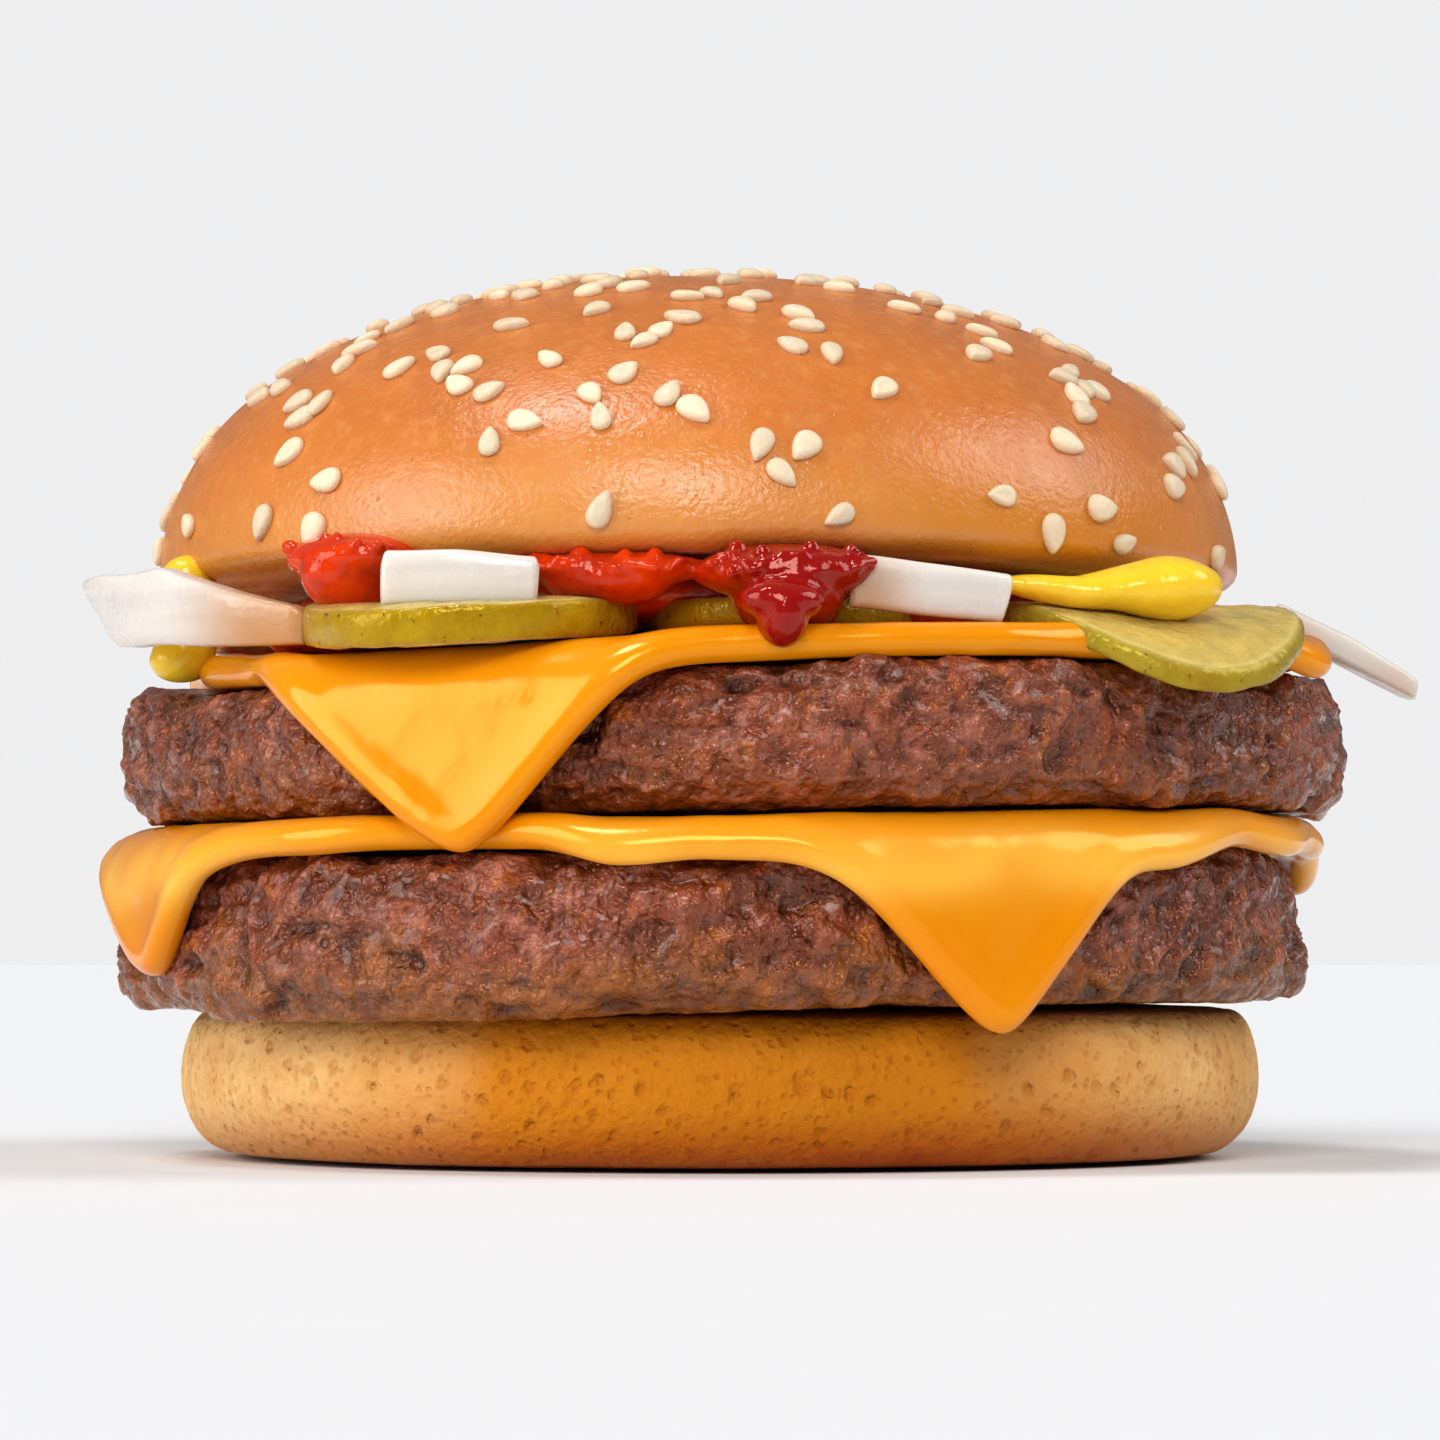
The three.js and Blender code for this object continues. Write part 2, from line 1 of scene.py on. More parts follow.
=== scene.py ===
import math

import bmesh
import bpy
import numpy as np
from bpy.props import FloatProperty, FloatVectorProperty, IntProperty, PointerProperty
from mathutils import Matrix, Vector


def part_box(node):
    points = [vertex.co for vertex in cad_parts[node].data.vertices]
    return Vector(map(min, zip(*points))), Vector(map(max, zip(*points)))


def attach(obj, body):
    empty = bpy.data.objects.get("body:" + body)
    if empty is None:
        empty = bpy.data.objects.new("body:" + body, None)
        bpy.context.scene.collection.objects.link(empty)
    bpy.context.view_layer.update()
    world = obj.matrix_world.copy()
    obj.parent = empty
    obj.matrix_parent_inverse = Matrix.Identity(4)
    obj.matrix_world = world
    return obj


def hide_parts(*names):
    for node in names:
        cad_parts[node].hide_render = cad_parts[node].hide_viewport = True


bl_info = {
    "name": "Double Cheeseburger",
    "version": (1, 0, 0),
    "blender": (4, 5, 0),
    "location": "View3D > Sidebar > Burger",
    "description": "Dresses a double cheeseburger's solids as bread, beef, cheese, pickle, onion and sauce",
    "category": "Add Mesh",
}

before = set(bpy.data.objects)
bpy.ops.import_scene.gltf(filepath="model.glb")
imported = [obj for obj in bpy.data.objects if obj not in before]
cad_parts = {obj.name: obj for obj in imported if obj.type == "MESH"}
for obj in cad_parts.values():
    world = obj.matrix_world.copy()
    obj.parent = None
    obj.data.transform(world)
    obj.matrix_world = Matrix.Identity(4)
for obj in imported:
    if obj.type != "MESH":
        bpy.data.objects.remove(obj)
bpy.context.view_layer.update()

# Forms are worked out in millimetres, with the heel's foot at 0, and become metres in the meshes
MM = 0.001
GAP = 0.3


def solid_z(node):
    """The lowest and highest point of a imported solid, in millimetres."""
    low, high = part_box(node)
    return low.z / MM, high.z / MM


HEEL_HEIGHT = solid_z("heel")[1]
PATTY_THICKNESS = 13.4
CHEESE_THICKNESS = 2.6
TOPPING_HEIGHT = 6.6
PATTY_LOWER_Z = HEEL_HEIGHT + GAP
CHEESE_LOWER_Z = PATTY_LOWER_Z + PATTY_THICKNESS + GAP
PATTY_UPPER_Z = CHEESE_LOWER_Z + CHEESE_THICKNESS + GAP
CHEESE_UPPER_Z = PATTY_UPPER_Z + PATTY_THICKNESS + GAP
TOPPINGS_Z = CHEESE_UPPER_Z + CHEESE_THICKNESS + GAP
CROWN_Z = TOPPINGS_Z + TOPPING_HEIGHT
BUN_RADIUS = 51
PATTY_RADIUS = 56.6


# Small tools for forms

def draw(i, k):
    """A repeatable number from 0 to 1 for item i of stream k."""
    s = math.sin(i * 12.9898 + k * 78.233) * 43758.5453
    return s - math.floor(s)


def unevenness(azimuth, seed):
    """An uneven wave round the azimuth, from about -1 to 1."""
    return (
        0.45 * np.sin(2 * azimuth + seed)
        + 0.3 * np.sin(3 * azimuth + 2.1 * seed)
        + 0.25 * np.sin(5 * azimuth + 3.7 * seed)
    )


def turn_between(a, b):
    """The difference between two azimuths, from -180 to 180 degrees, in radians."""
    return np.arctan2(np.sin(a - b), np.cos(a - b))


def bump(azimuth, middle, width):
    """A bump of height 1 round one azimuth. Its middle and its width are in degrees."""
    return np.exp(-((turn_between(azimuth, math.radians(middle)) / math.radians(width)) ** 2))


def smooth(low, high, value):
    """0 below low, 1 above high and smooth between them."""
    share = np.clip((value - low) / (high - low), 0, 1)
    return share * share * (3 - 2 * share)


def lerp(a, b, share):
    return a + (b - a) * share


def hashed(cells, seed):
    """A repeatable number from 0 to 1 for every whole-numbered cell of space."""
    n = cells.astype(np.int64)
    h = (n[..., 0] * 73856093) ^ (n[..., 1] * 19349663) ^ (n[..., 2] * 83492791)
    h = (h ^ (seed * 9176713)) & 0x7FFFFFFF
    h = ((h ^ (h >> 13)) * 1274126177) & 0x7FFFFFFF
    h = ((h ^ (h >> 16)) * 668265263) & 0x7FFFFFFF
    return ((h >> 7) & 0xFFFFFF) / 0xFFFFFF


def noise(points, size, seed=0):
    """Smooth noise from -1 to 1 whose features are about `size` across."""
    p = points / size
    cell = np.floor(p)
    f = p - cell
    f = f * f * (3 - 2 * f)
    total = np.zeros(p.shape[:-1])
    for corner in np.ndindex(2, 2, 2):
        weight = np.prod(np.where(corner, f, 1 - f), axis=-1)
        total += weight * hashed(cell + corner, seed)
    return 2 * total - 1


def crumbs(points, size, seed=0, soft=0.5):
    """Packed crumbs about `size` across: 0 in the cracks between them and 1 on their tops."""
    p = points / size
    cell = np.floor(p)
    near = np.full(p.shape[:-1], 9.0)
    far = near.copy()
    for step in np.ndindex(3, 3, 3):
        other = cell + np.array(step) - 1
        shift = np.stack([hashed(other, 3 * seed + k) for k in range(3)], -1)
        distance = np.linalg.norm(p - other - shift, axis=-1)
        far = np.minimum(far, np.maximum(near, distance))
        near = np.minimum(near, distance)
    return smooth(0, soft, far - near)


def even_path(corners, count, rounds=3):
    """`count` evenly spaced points of the smooth path that cuts the corners of a polyline."""
    path = np.array(corners, float)
    for _ in range(rounds):
        before, after = path[:-1], path[1:]
        cut = np.stack([0.75 * before + 0.25 * after, 0.25 * before + 0.75 * after], 1)
        path = np.vstack([path[:1], cut.reshape(-1, 2), path[-1:]])
    return evenly(path, count)


def evenly(path, count):
    """`count` points at even distances along a path of many points."""
    length = np.concatenate([[0], np.cumsum(np.linalg.norm(np.diff(path, axis=0), axis=1))])
    wanted = np.linspace(0, length[-1], count)
    return np.stack([np.interp(wanted, length, path[:, k]) for k in range(path.shape[1])], 1)


def round_axis(r, azimuth, z):
    """Points at distance r from the axis and height z. Azimuth 0 is in front and 90 degrees to the right."""
    r, azimuth, z = np.broadcast_arrays(r, azimuth, z)
    return np.stack([r * np.sin(azimuth), -r * np.cos(azimuth), z], -1)


def azimuths(count):
    return np.linspace(0, 2 * np.pi, count, endpoint=False)[None, :]


def outward(rings):
    """The outward direction at each point of a skin of rings."""
    along = np.roll(rings, -1, 1) - np.roll(rings, 1, 1)
    up = np.gradient(rings, axis=0)
    normal = np.cross(along, up)
    return normal / np.maximum(np.linalg.norm(normal, axis=-1, keepdims=True), 1e-9)


def swollen(rings, relief):
    """A skin of rings with each point moved outward by its relief."""
    return rings + outward(rings) * relief[..., None]


def from_middle(rings):
    """Distance of each point from the upright axis."""
    return np.hypot(rings[..., 0], rings[..., 1])


def turned(points, axis, degrees):
    """Points turned about axis 0, 1 or 2, which are x, y and z."""
    angle = math.radians(degrees)
    first, second = points[..., axis - 2], points[..., axis - 1]
    result = points.copy()
    result[..., axis - 2] = first * math.cos(angle) - second * math.sin(angle)
    result[..., axis - 1] = first * math.sin(angle) + second * math.cos(angle)
    return result


# Small tools for meshes

def skin_faces(steps, around):
    """The faces of a skin of rings, closed by a fan at its first and its last ring."""
    k = np.arange(around)
    after = (k + 1) % around
    below = np.arange(steps - 1)[:, None] * around
    quads = np.stack([below + k, below + after, below + after + around, below + k + around], -1)
    first, last = steps * around, steps * around + 1
    top = (steps - 1) * around
    fans = [(first, b, a) for a, b in zip(k.tolist(), after.tolist())]
    fans += [(last, top + a, top + b) for a, b in zip(k.tolist(), after.tolist())]
    return quads.reshape(-1, 4).tolist() + fans


def add_piece(name, points, faces, material, nodes, marks=None):
    """A smooth piece from points in millimetres, riding on the body, that stands for CAD nodes."""
    mesh = bpy.data.meshes.new(name)
    mesh.from_pydata((np.asarray(points) * MM).tolist(), [], faces)
    return dress(mesh, name, material, nodes, marks)


def dress(mesh, name, material, nodes, marks=None):
    """An object of a finished mesh, with its material, its marks and its place in the frame."""
    for mark, values in (marks or {}).items():
        flat = np.asarray(values, float).ravel()
        kind = "FLOAT" if len(flat) == len(mesh.vertices) else "FLOAT_VECTOR"
        layer = mesh.attributes.new(mark, kind, "POINT")
        layer.data.foreach_set("value" if kind == "FLOAT" else "vector", flat)
    mesh.polygons.foreach_set("use_smooth", [True] * len(mesh.polygons))
    mesh.materials.append(material)
    mesh.validate()
    piece = bpy.data.objects.new(name, mesh)
    bpy.context.scene.collection.objects.link(piece)
    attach(piece, "root")
    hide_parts(*nodes)
    return piece


def add_skin(name, rings, material, nodes, marks=None):
    """A closed piece from rings that run from the middle of its underside to the middle of its top."""
    steps, around = rings.shape[:2]
    poles = [rings[0].mean(0), rings[-1].mean(0)]
    points = np.vstack([rings.reshape(-1, 3), poles])
    full = {
        mark: np.concatenate([np.ravel(v), [np.mean(v[0]), np.mean(v[-1])]])
        for mark, v in (marks or {}).items()
    }
    return add_piece(name, points, skin_faces(steps, around), material, nodes, full)


SAUCE_VOXEL = 0.3


def fused_mesh(name, drops, passes):
    """One smooth mesh of egg-shaped drops, each a middle, radii and a turn, that run into each other."""
    work = bmesh.new()
    for middle, radii, turn in drops:
        place = Matrix.Rotation(math.radians(turn), 4, "Z") @ Matrix.Translation(Vector(middle) * MM)
        shape = place @ Matrix.Diagonal((*[r * MM for r in radii], 1))
        bmesh.ops.create_icosphere(work, subdivisions=3, radius=1, matrix=shape)
    rough = bpy.data.meshes.new(name)
    work.to_mesh(rough)
    work.free()
    maker = bpy.data.objects.new(name, rough)
    bpy.context.scene.collection.objects.link(maker)
    remesh = maker.modifiers.new("fuse", "REMESH")
    remesh.mode = "VOXEL"
    remesh.voxel_size = SAUCE_VOXEL * MM
    even = maker.modifiers.new("even", "SMOOTH")
    even.iterations = passes
    even.factor = 0.5
    mesh = bpy.data.meshes.new_from_object(maker.evaluated_get(bpy.context.evaluated_depsgraph_get()))
    bpy.data.objects.remove(maker)
    bpy.data.meshes.remove(rough)
    return mesh


def shift_along_normals(mesh, relief):
    """Moves a mesh's points along their normals by what relief gives for them, in millimetres."""
    count = len(mesh.vertices)
    points = np.empty(count * 3)
    normals = np.empty(count * 3)
    mesh.vertices.foreach_get("co", points)
    mesh.vertex_normals.foreach_get("vector", normals)
    points, normals = points.reshape(-1, 3), normals.reshape(-1, 3)
    points = points + normals * relief(points / MM)[:, None] * MM
    mesh.vertices.foreach_set("co", points.ravel())
    mesh.update()


# The layers' forms, shared by the pieces that touch them

# Where each corner of the cheese points, how far it reaches along the slice, and how many times steeper than
# a right angle's its two sides are
LOWER_CORNERS = ((26.3, 73.2, (1.1, 1.35)), (98, 59, (1, 1)), (203, 70, (1, 1)), (-63, 66.4, (0.55, 1.1)))
UPPER_CORNERS = ((-23.7, 71.3, (0.85, 1.2)), (65, 58, (1, 1)), (150, 69, (1, 1)), (234, 66, (1, 1)))

PATTY_EDGE = 5
PATTY_SQUARENESS = 0.62
PATTIES = {
    "patty_lower": {
        "x": -0.9, "z": PATTY_LOWER_Z, "seed": 1.7, "corners": LOWER_CORNERS, "glaze": 0.75,
        "presses": ((98, 30, 2), (-78, 28, 2.2)),
        "sags": (
            {"azimuth": -38, "width": 34, "from": 45, "to": 54, "top": 0, "bottom": 1.5},
            {"azimuth": 55, "width": 50, "from": 42, "to": 54, "top": -1.2, "bottom": 0},
        ),
    },
    "patty_upper": {
        "x": 1.2, "z": PATTY_UPPER_Z, "seed": 5.3, "corners": UPPER_CORNERS, "glaze": 0.3,
        "presses": (),
        "sags": (
            {"azimuth": -48, "width": 38, "from": 20, "to": 50, "top": 1.8, "bottom": 0},
            {"azimuth": 55, "width": 50, "from": 42, "to": 54, "top": -0.7, "bottom": 0},
            {"azimuth": 55, "width": 52, "from": 40, "to": 52, "top": 0, "bottom": -1.35},
        ),
    },
}


def patty_rim(patty, azimuth, level=1):
    """Distance of a patty's rim from its own axis, at a level from -1 at its bottom to 1 at its top.

    It is pressed in where the cheese hangs down, and at the patty's presses.
    """
    rim = PATTY_RADIUS + 0.7 * unevenness(azimuth, patty["seed"])
    for press, width, depth in patty["presses"]:
        rim = rim - depth * bump(azimuth, press, width) * smooth(-0.3, 0.4, level)
    for corner, reach, _ in patty["corners"]:
        rim = rim - 0.1 * (reach - PATTY_RADIUS) * bump(azimuth, corner, 14)
    return rim


def patty_sag(patty, azimuth, r, face):
    """How far the patty's top or bottom sags towards its rim. Where it rises, the sag is negative."""
    total = 0
    for sag in patty["sags"]:
        here = bump(azimuth, sag["azimuth"], sag["width"])
        total = total + sag[face] * here * smooth(sag["from"], sag["to"], r)
    return total


CHEESE_BEND = 2.6
CHEESE_TIP = 0.05
CHEESE_CLEAR = 1
# A slice's pale is how strong its painted sheen is: a paler band past the bend, where a highlight falls
CHEESES = {
    "cheese_lower": {
        "patty": PATTIES["patty_lower"], "z": CHEESE_LOWER_Z, "seed": 2.4, "flare": 0.02, "sweep": 5,
        "edge": 57.3, "insets": ((160, 24, 3), (20, 48, -2), (-23.7, 9, 2.9)), "wave": 1.1, "pale": 1,
    },
    "cheese_upper": {
        "patty": PATTIES["patty_upper"], "z": CHEESE_UPPER_Z, "seed": 0.6, "flare": 0.13, "sweep": 6.5,
        "edge": 54.5, "insets": ((-90, 22, 7), (93, 14, 4.5)), "wave": 0.6, "pale": 0.05,
    },
}


def cheese_reach(slice_, azimuth):
    """Distance along the slice from its middle to its edge. A corner is a right angle with a round tip."""
    reach = slice_["edge"] + 0.6 * unevenness(azimuth, slice_["seed"])
    reach = reach + slice_["wave"] * noise(round_axis(PATTY_RADIUS, azimuth, 0), 8, int(10 * slice_["seed"]))
    for inset, width, depth in slice_["insets"]:
        reach = reach - depth * bump(azimuth, inset, width)
    for corner, length, steep in slice_["patty"]["corners"]:
        turn = turn_between(azimuth, math.radians(corner))
        turn = turn * np.where(turn > 0, steep[1], steep[0])
        tip = length - PATTY_RADIUS * (np.hypot(turn, CHEESE_TIP) - CHEESE_TIP)
        reach = (reach + tip + np.hypot(reach - tip, slice_["sweep"])) / 2
    return reach


def cheese_point(slice_, azimuth, along, up):
    """Distance from the patty's axis and height of a point `along` a slice, `up` above its underside."""
    patty = slice_["patty"]
    fold = patty_rim(patty, azimuth) + CHEESE_CLEAR - CHEESE_BEND
    bend = CHEESE_BEND + CHEESE_THICKNESS / 2
    turn = np.clip((along - fold) / bend, 0, np.pi / 2)
    drop = np.maximum(along - fold - bend * np.pi / 2, 0)
    r = np.minimum(along, fold) + (CHEESE_BEND + up) * np.sin(turn) + slice_["flare"] * drop
    top = slice_["z"] - patty_sag(patty, azimuth, r, "top")
    return r, top - CHEESE_BEND + (CHEESE_BEND + up) * np.cos(turn) - drop


CROWN_CENTRE_X = -1.9
CROWN_RIM_HEIGHT = 2.4
CROWN_CORNER = 4.6
CROWN_DROOP = 1.8
CROWN_HEIGHT = 28.8
CROWN_DOME = CROWN_HEIGHT - CROWN_RIM_HEIGHT


def crown_point(azimuth, share, rise):
    """Distance from the axis and height of a point at `share` of the radius, `rise` above the cut face."""
    r = share * BUN_RADIUS * (1 + 0.006 * unevenness(azimuth, 2.9))
    low = 1 - smooth(CROWN_RIM_HEIGHT, 0.6 * CROWN_HEIGHT, rise)
    return r, CROWN_Z + rise - low * CROWN_DROOP * np.sin(azimuth) ** 2 * r / BUN_RADIUS


def crown_relief(points):
    """The soft unevenness of the crown's skin."""
    return 0.32 * noise(points, 19, 11) + 0.1 * noise(points, 7, 12)


PICKLES = {
    "pickle_left": {
        "at": (-22.3, -40.8, TOPPINGS_Z + 1.5), "radius": 15.1, "thickness": 3.9,
        "tilt": 7, "lean": -20, "droop": 0, "seed": 0.8, "green": 0.15,
    },
    "pickle_middle": {
        "at": (5.2, -36, TOPPINGS_Z + 1.4), "radius": 12, "thickness": 2.8,
        "tilt": 0, "lean": 0, "droop": 0, "seed": 2.2, "green": 0,
    },
    "pickle_right": {
        "at": (38.6, -33.2, TOPPINGS_Z + 1.5), "radius": 14, "thickness": 2.5,
        "tilt": 3, "lean": 24, "droop": 5.3, "seed": 3.9, "green": 1,
    },
    "pickle_back": {
        "at": (-10, 41, TOPPINGS_Z + 1.9), "radius": 14, "thickness": 3.2,
        "tilt": 2, "lean": 195, "droop": 0.8, "seed": 5.1, "green": 0.6,
    },
}

# For each end of a sliver, clear is how much it is browned towards that end and its bottom, partly as
# clearness and partly as painted shade
ONIONS = {
    "onion_left": {
        "at": (-50, -30, TOPPINGS_Z + 2.75), "size": (35, 2.6, 7), "bend": 38,
        "turn": -52, "pitch": 1, "flare": 2, "taper": (0.1, 0.55), "slant": (2.4, 0.6), "clear": (0, 1),
    },
    "onion_center": {
        "at": (-22.7, -51.4, TOPPINGS_Z + 4.2), "size": (13.6, 3.4, 4.9), "bend": 40,
        "turn": -6, "pitch": 2, "taper": (0, 0.05), "slant": (0.1, 0.2), "clear": (0.1, 0.1),
    },
    "onion_right": {
        "at": (18.4, -49.2, TOPPINGS_Z + 3.35), "size": (14.2, 2.6, 4.6), "bend": 30,
        "turn": 14, "pitch": 5, "taper": (0, 0.05), "slant": (0.2, 0.9), "clear": (0.8, 0),
    },
    "onion_far_right": {
        "at": (58.6, -5, TOPPINGS_Z - 0.2), "size": (15, 5.2, 2.6), "bend": 60,
        "turn": 5, "pitch": 26, "taper": (0, 0.3), "slant": (0.2, -0.8), "clear": (0.3, 0.3),
    },
    "onion_back_right": {
        "at": (33.5, 39.5, TOPPINGS_Z + 2.5), "size": (17, 2.6, 4.9), "bend": 32,
        "turn": 140, "pitch": 0, "taper": (0.25, 0.1), "slant": (0.3, 0.3), "clear": (0.3, 0.2),
    },
    "onion_back_left": {
        "at": (-46.5, 23, TOPPINGS_Z + 2.6), "size": (20, 2.5, 5), "bend": 34,
        "turn": -114, "pitch": -2, "taper": (0.1, 0.4), "slant": (0.3, 0.3), "clear": (0.2, 0.3),
    },
}


# Shader node groups, each an effect that several foods share

class Nodes:
    """Adds nodes to one tree. An input is given as a value, or as the socket that feeds it."""

    def __init__(self, tree):
        self.tree = tree

    def add(self, kind, inputs=None, **settings):
        node = self.tree.nodes.new(kind)
        for name, value in settings.items():
            setattr(node, name, value)
        for name, value in (inputs or {}).items():
            if isinstance(value, bpy.types.NodeSocket):
                self.tree.links.new(value, node.inputs[name])
            else:
                node.inputs[name].default_value = value
        return node

    def math(self, operation, first, second):
        return self.add("ShaderNodeMath", {0: first, 1: second}, operation=operation).outputs[0]

    def vector(self, operation, first, second):
        return self.add("ShaderNodeVectorMath", {0: first, 1: second}, operation=operation).outputs[0]

    def ranged(self, value, low, high, to_low=0.0, to_high=1.0):
        """A value from low to high as one from to_low to to_high, held there beyond the ends."""
        inputs = {"Value": value, "From Min": low, "From Max": high, "To Min": to_low, "To Max": to_high}
        return self.add("ShaderNodeMapRange", inputs).outputs[0]

    def mix(self, share, first, second, blend="MIX"):
        inputs = {0: share, 6: first, 7: second}
        return self.add("ShaderNodeMix", inputs, data_type="RGBA", blend_type=blend).outputs[2]

    def mark(self, name):
        """A mark that the mesh carries, as a number."""
        return self.add("ShaderNodeAttribute", attribute_name=name).outputs["Fac"]

    def place(self, size):
        """The place on the object, counted in steps of `size` millimetres."""
        where = self.add("ShaderNodeTexCoord").outputs["Object"]
        steps = self.math("DIVIDE", 1000.0, size)
        return self.add("ShaderNodeVectorMath", {0: where, "Scale": steps}, operation="SCALE").outputs[0]


def new_group(name, inputs, outputs):
    """An empty node group. Its inputs are (name, kind, default) and its outputs (name, kind)."""
    group = bpy.data.node_groups.new(name, "ShaderNodeTree")
    for label, kind, default in inputs:
        socket = group.interface.new_socket(label, in_out="INPUT", socket_type=kind)
        socket.default_value = default
    for label, kind in outputs:
        group.interface.new_socket(label, in_out="OUTPUT", socket_type=kind)
    nodes = Nodes(group)
    return group, nodes, nodes.add("NodeGroupInput").outputs, nodes.add("NodeGroupOutput").inputs


FLOAT = "NodeSocketFloat"
COLOR = "NodeSocketColor"


def patches_group():
    """Soft-edged patches of a second colour in a first one."""
    group, nodes, given, result = new_group(
        "Patches",
        [("First", COLOR, (1, 1, 1, 1)), ("Second", COLOR, (0, 0, 0, 1)), ("Size", FLOAT, 5.0),
         ("Share", FLOAT, 0.5), ("Softness", FLOAT, 0.15), ("Seed", FLOAT, 0.0)],
        [("Color", COLOR)],
    )
    inputs = {
        "Vector": nodes.place(given["Size"]), "W": given["Seed"],
        "Scale": 1.0, "Detail": 4.0, "Roughness": 0.6,
    }
    cloud = nodes.add("ShaderNodeTexNoise", inputs, noise_dimensions="4D").outputs["Fac"]
    level = nodes.math("SUBTRACT", 1.0, given["Share"])
    low = nodes.math("SUBTRACT", level, given["Softness"])
    high = nodes.math("ADD", level, given["Softness"])
    mask = nodes.ranged(cloud, low, high)
    group.links.new(nodes.mix(mask, given["First"], given["Second"]), result["Color"])
    return group


def pores_group():
    """Round pits of uneven depth, such as the open pores of a bun."""
    group, nodes, given, result = new_group(
        "Pores",
        [("Size", FLOAT, 1.0), ("Width", FLOAT, 0.35), ("Share", FLOAT, 0.5)],
        [("Height", FLOAT), ("Mask", FLOAT)],
    )
    where = nodes.place(given["Size"])
    wobble = nodes.add("ShaderNodeTexNoise", {"Vector": where, "Scale": 1.7}).outputs["Color"]
    bent = nodes.vector("MULTIPLY", wobble, (0.45, 0.45, 0.45))
    moved = nodes.vector("ADD", where, bent)
    cells = nodes.add("ShaderNodeTexVoronoi", {"Vector": moved, "Scale": 1.0})
    inner = nodes.math("MULTIPLY", given["Width"], 0.35)
    pit = nodes.ranged(cells.outputs["Distance"], inner, given["Width"], 1.0, 0.0)
    pick = nodes.add("ShaderNodeSeparateColor", {"Color": cells.outputs["Color"]}).outputs[0]
    rare = nodes.math("SUBTRACT", 1.0, given["Share"])
    chosen = nodes.ranged(pick, rare, nodes.math("ADD", rare, 0.35), 0.0, 1.0)
    mask = nodes.math("MULTIPLY", pit, chosen)
    group.links.new(mask, result["Mask"])
    group.links.new(nodes.math("MULTIPLY", mask, -1.0), result["Height"])
    return group


def grain_group():
    """Fine unevenness of a surface, as a height from -1 to 1."""
    group, nodes, given, result = new_group(
        "Grain",
        [("Size", FLOAT, 1.0), ("Detail", FLOAT, 3.0)],
        [("Height", FLOAT)],
    )
    inputs = {"Vector": nodes.place(given["Size"]), "Scale": 1.0, "Detail": given["Detail"]}
    cloud = nodes.add("ShaderNodeTexNoise", inputs).outputs["Fac"]
    group.links.new(nodes.ranged(cloud, 0.2, 0.8, -1.0, 1.0), result["Height"])
    return group


def moisture_group():
    """Roughness that wanders between wet and dry places."""
    group, nodes, given, result = new_group(
        "Moisture",
        [("Wet", FLOAT, 0.2), ("Dry", FLOAT, 0.6), ("Size", FLOAT, 4.0)],
        [("Roughness", FLOAT), ("Mask", FLOAT)],
    )
    inputs = {"Vector": nodes.place(given["Size"]), "Scale": 1.0, "Detail": 3.0}
    cloud = nodes.add("ShaderNodeTexNoise", inputs).outputs["Fac"]
    mask = nodes.ranged(cloud, 0.38, 0.62)
    group.links.new(mask, result["Mask"])
    group.links.new(nodes.ranged(mask, 0.0, 1.0, given["Wet"], given["Dry"]), result["Roughness"])
    return group


GROUP_MAKERS = {
    "Patches": patches_group,
    "Pores": pores_group,
    "Grain": grain_group,
    "Moisture": moisture_group,
}


def rgba(color, factor=1.0):
    """A colour for a node, made darker by a factor."""
    return (*[c * factor for c in color[:3]], 1.0)


class Finish:
    """A new material: its nodes, its shader and the shared groups as it uses them."""

    def __init__(self, name, **constants):
        self.material = bpy.data.materials.new(name)
        self.material.use_nodes = True
        self.nodes = Nodes(self.material.node_tree)
        self.shader = self.material.node_tree.nodes["Principled BSDF"]
        for socket, value in constants.items():
            self.shader.inputs[socket.replace("_", " ")].default_value = value

    def group(self, name, **inputs):
        tree = bpy.data.node_groups.get(name) or GROUP_MAKERS[name]()
        node = self.nodes.add("ShaderNodeGroup", node_tree=tree)
        for socket, value in inputs.items():
            if isinstance(value, bpy.types.NodeSocket):
                self.material.node_tree.links.new(value, node.inputs[socket])
            else:
                node.inputs[socket].default_value = value
        return node.outputs

    def patches(self, first, second, size, share, softness, seed=0.0):
        """A colour with patches of a second one, of `size` millimetres."""
        given = {"First": first, "Second": second, "Size": size, "Share": share, "Softness": softness}
        return self.group("Patches", **given, Seed=seed)["Color"]

    def grain(self, size, detail):
        """A fine uneven height, of `size` millimetres."""
        return self.group("Grain", Size=size, Detail=detail)["Height"]

    def moist(self, wet, dry, size):
        """Feeds a roughness that wanders between wet and dry places of `size` millimetres."""
        self.feed("Roughness", self.group("Moisture", Wet=wet, Dry=dry, Size=size)["Roughness"])

    def feed(self, socket, value):
        self.material.node_tree.links.new(value, self.shader.inputs[socket])

    def bumps(self, *heights):
        """Feeds the normal from (height, depth in millimetres) pairs, one bump on the other."""
        normal = None
        for height, depth in heights:
            inputs = {"Height": height, "Strength": 1.0, "Distance": depth * MM}
            if normal is not None:
                inputs["Normal"] = normal
            normal = self.nodes.add("ShaderNodeBump", inputs).outputs["Normal"]
        self.feed("Normal", normal)


# Materials, with the colours that only one effect has

FINE_CRUST = (0.72, 0.32, 0.09)
GOLD_SMEAR = (0.6, 0.2, 0.001)


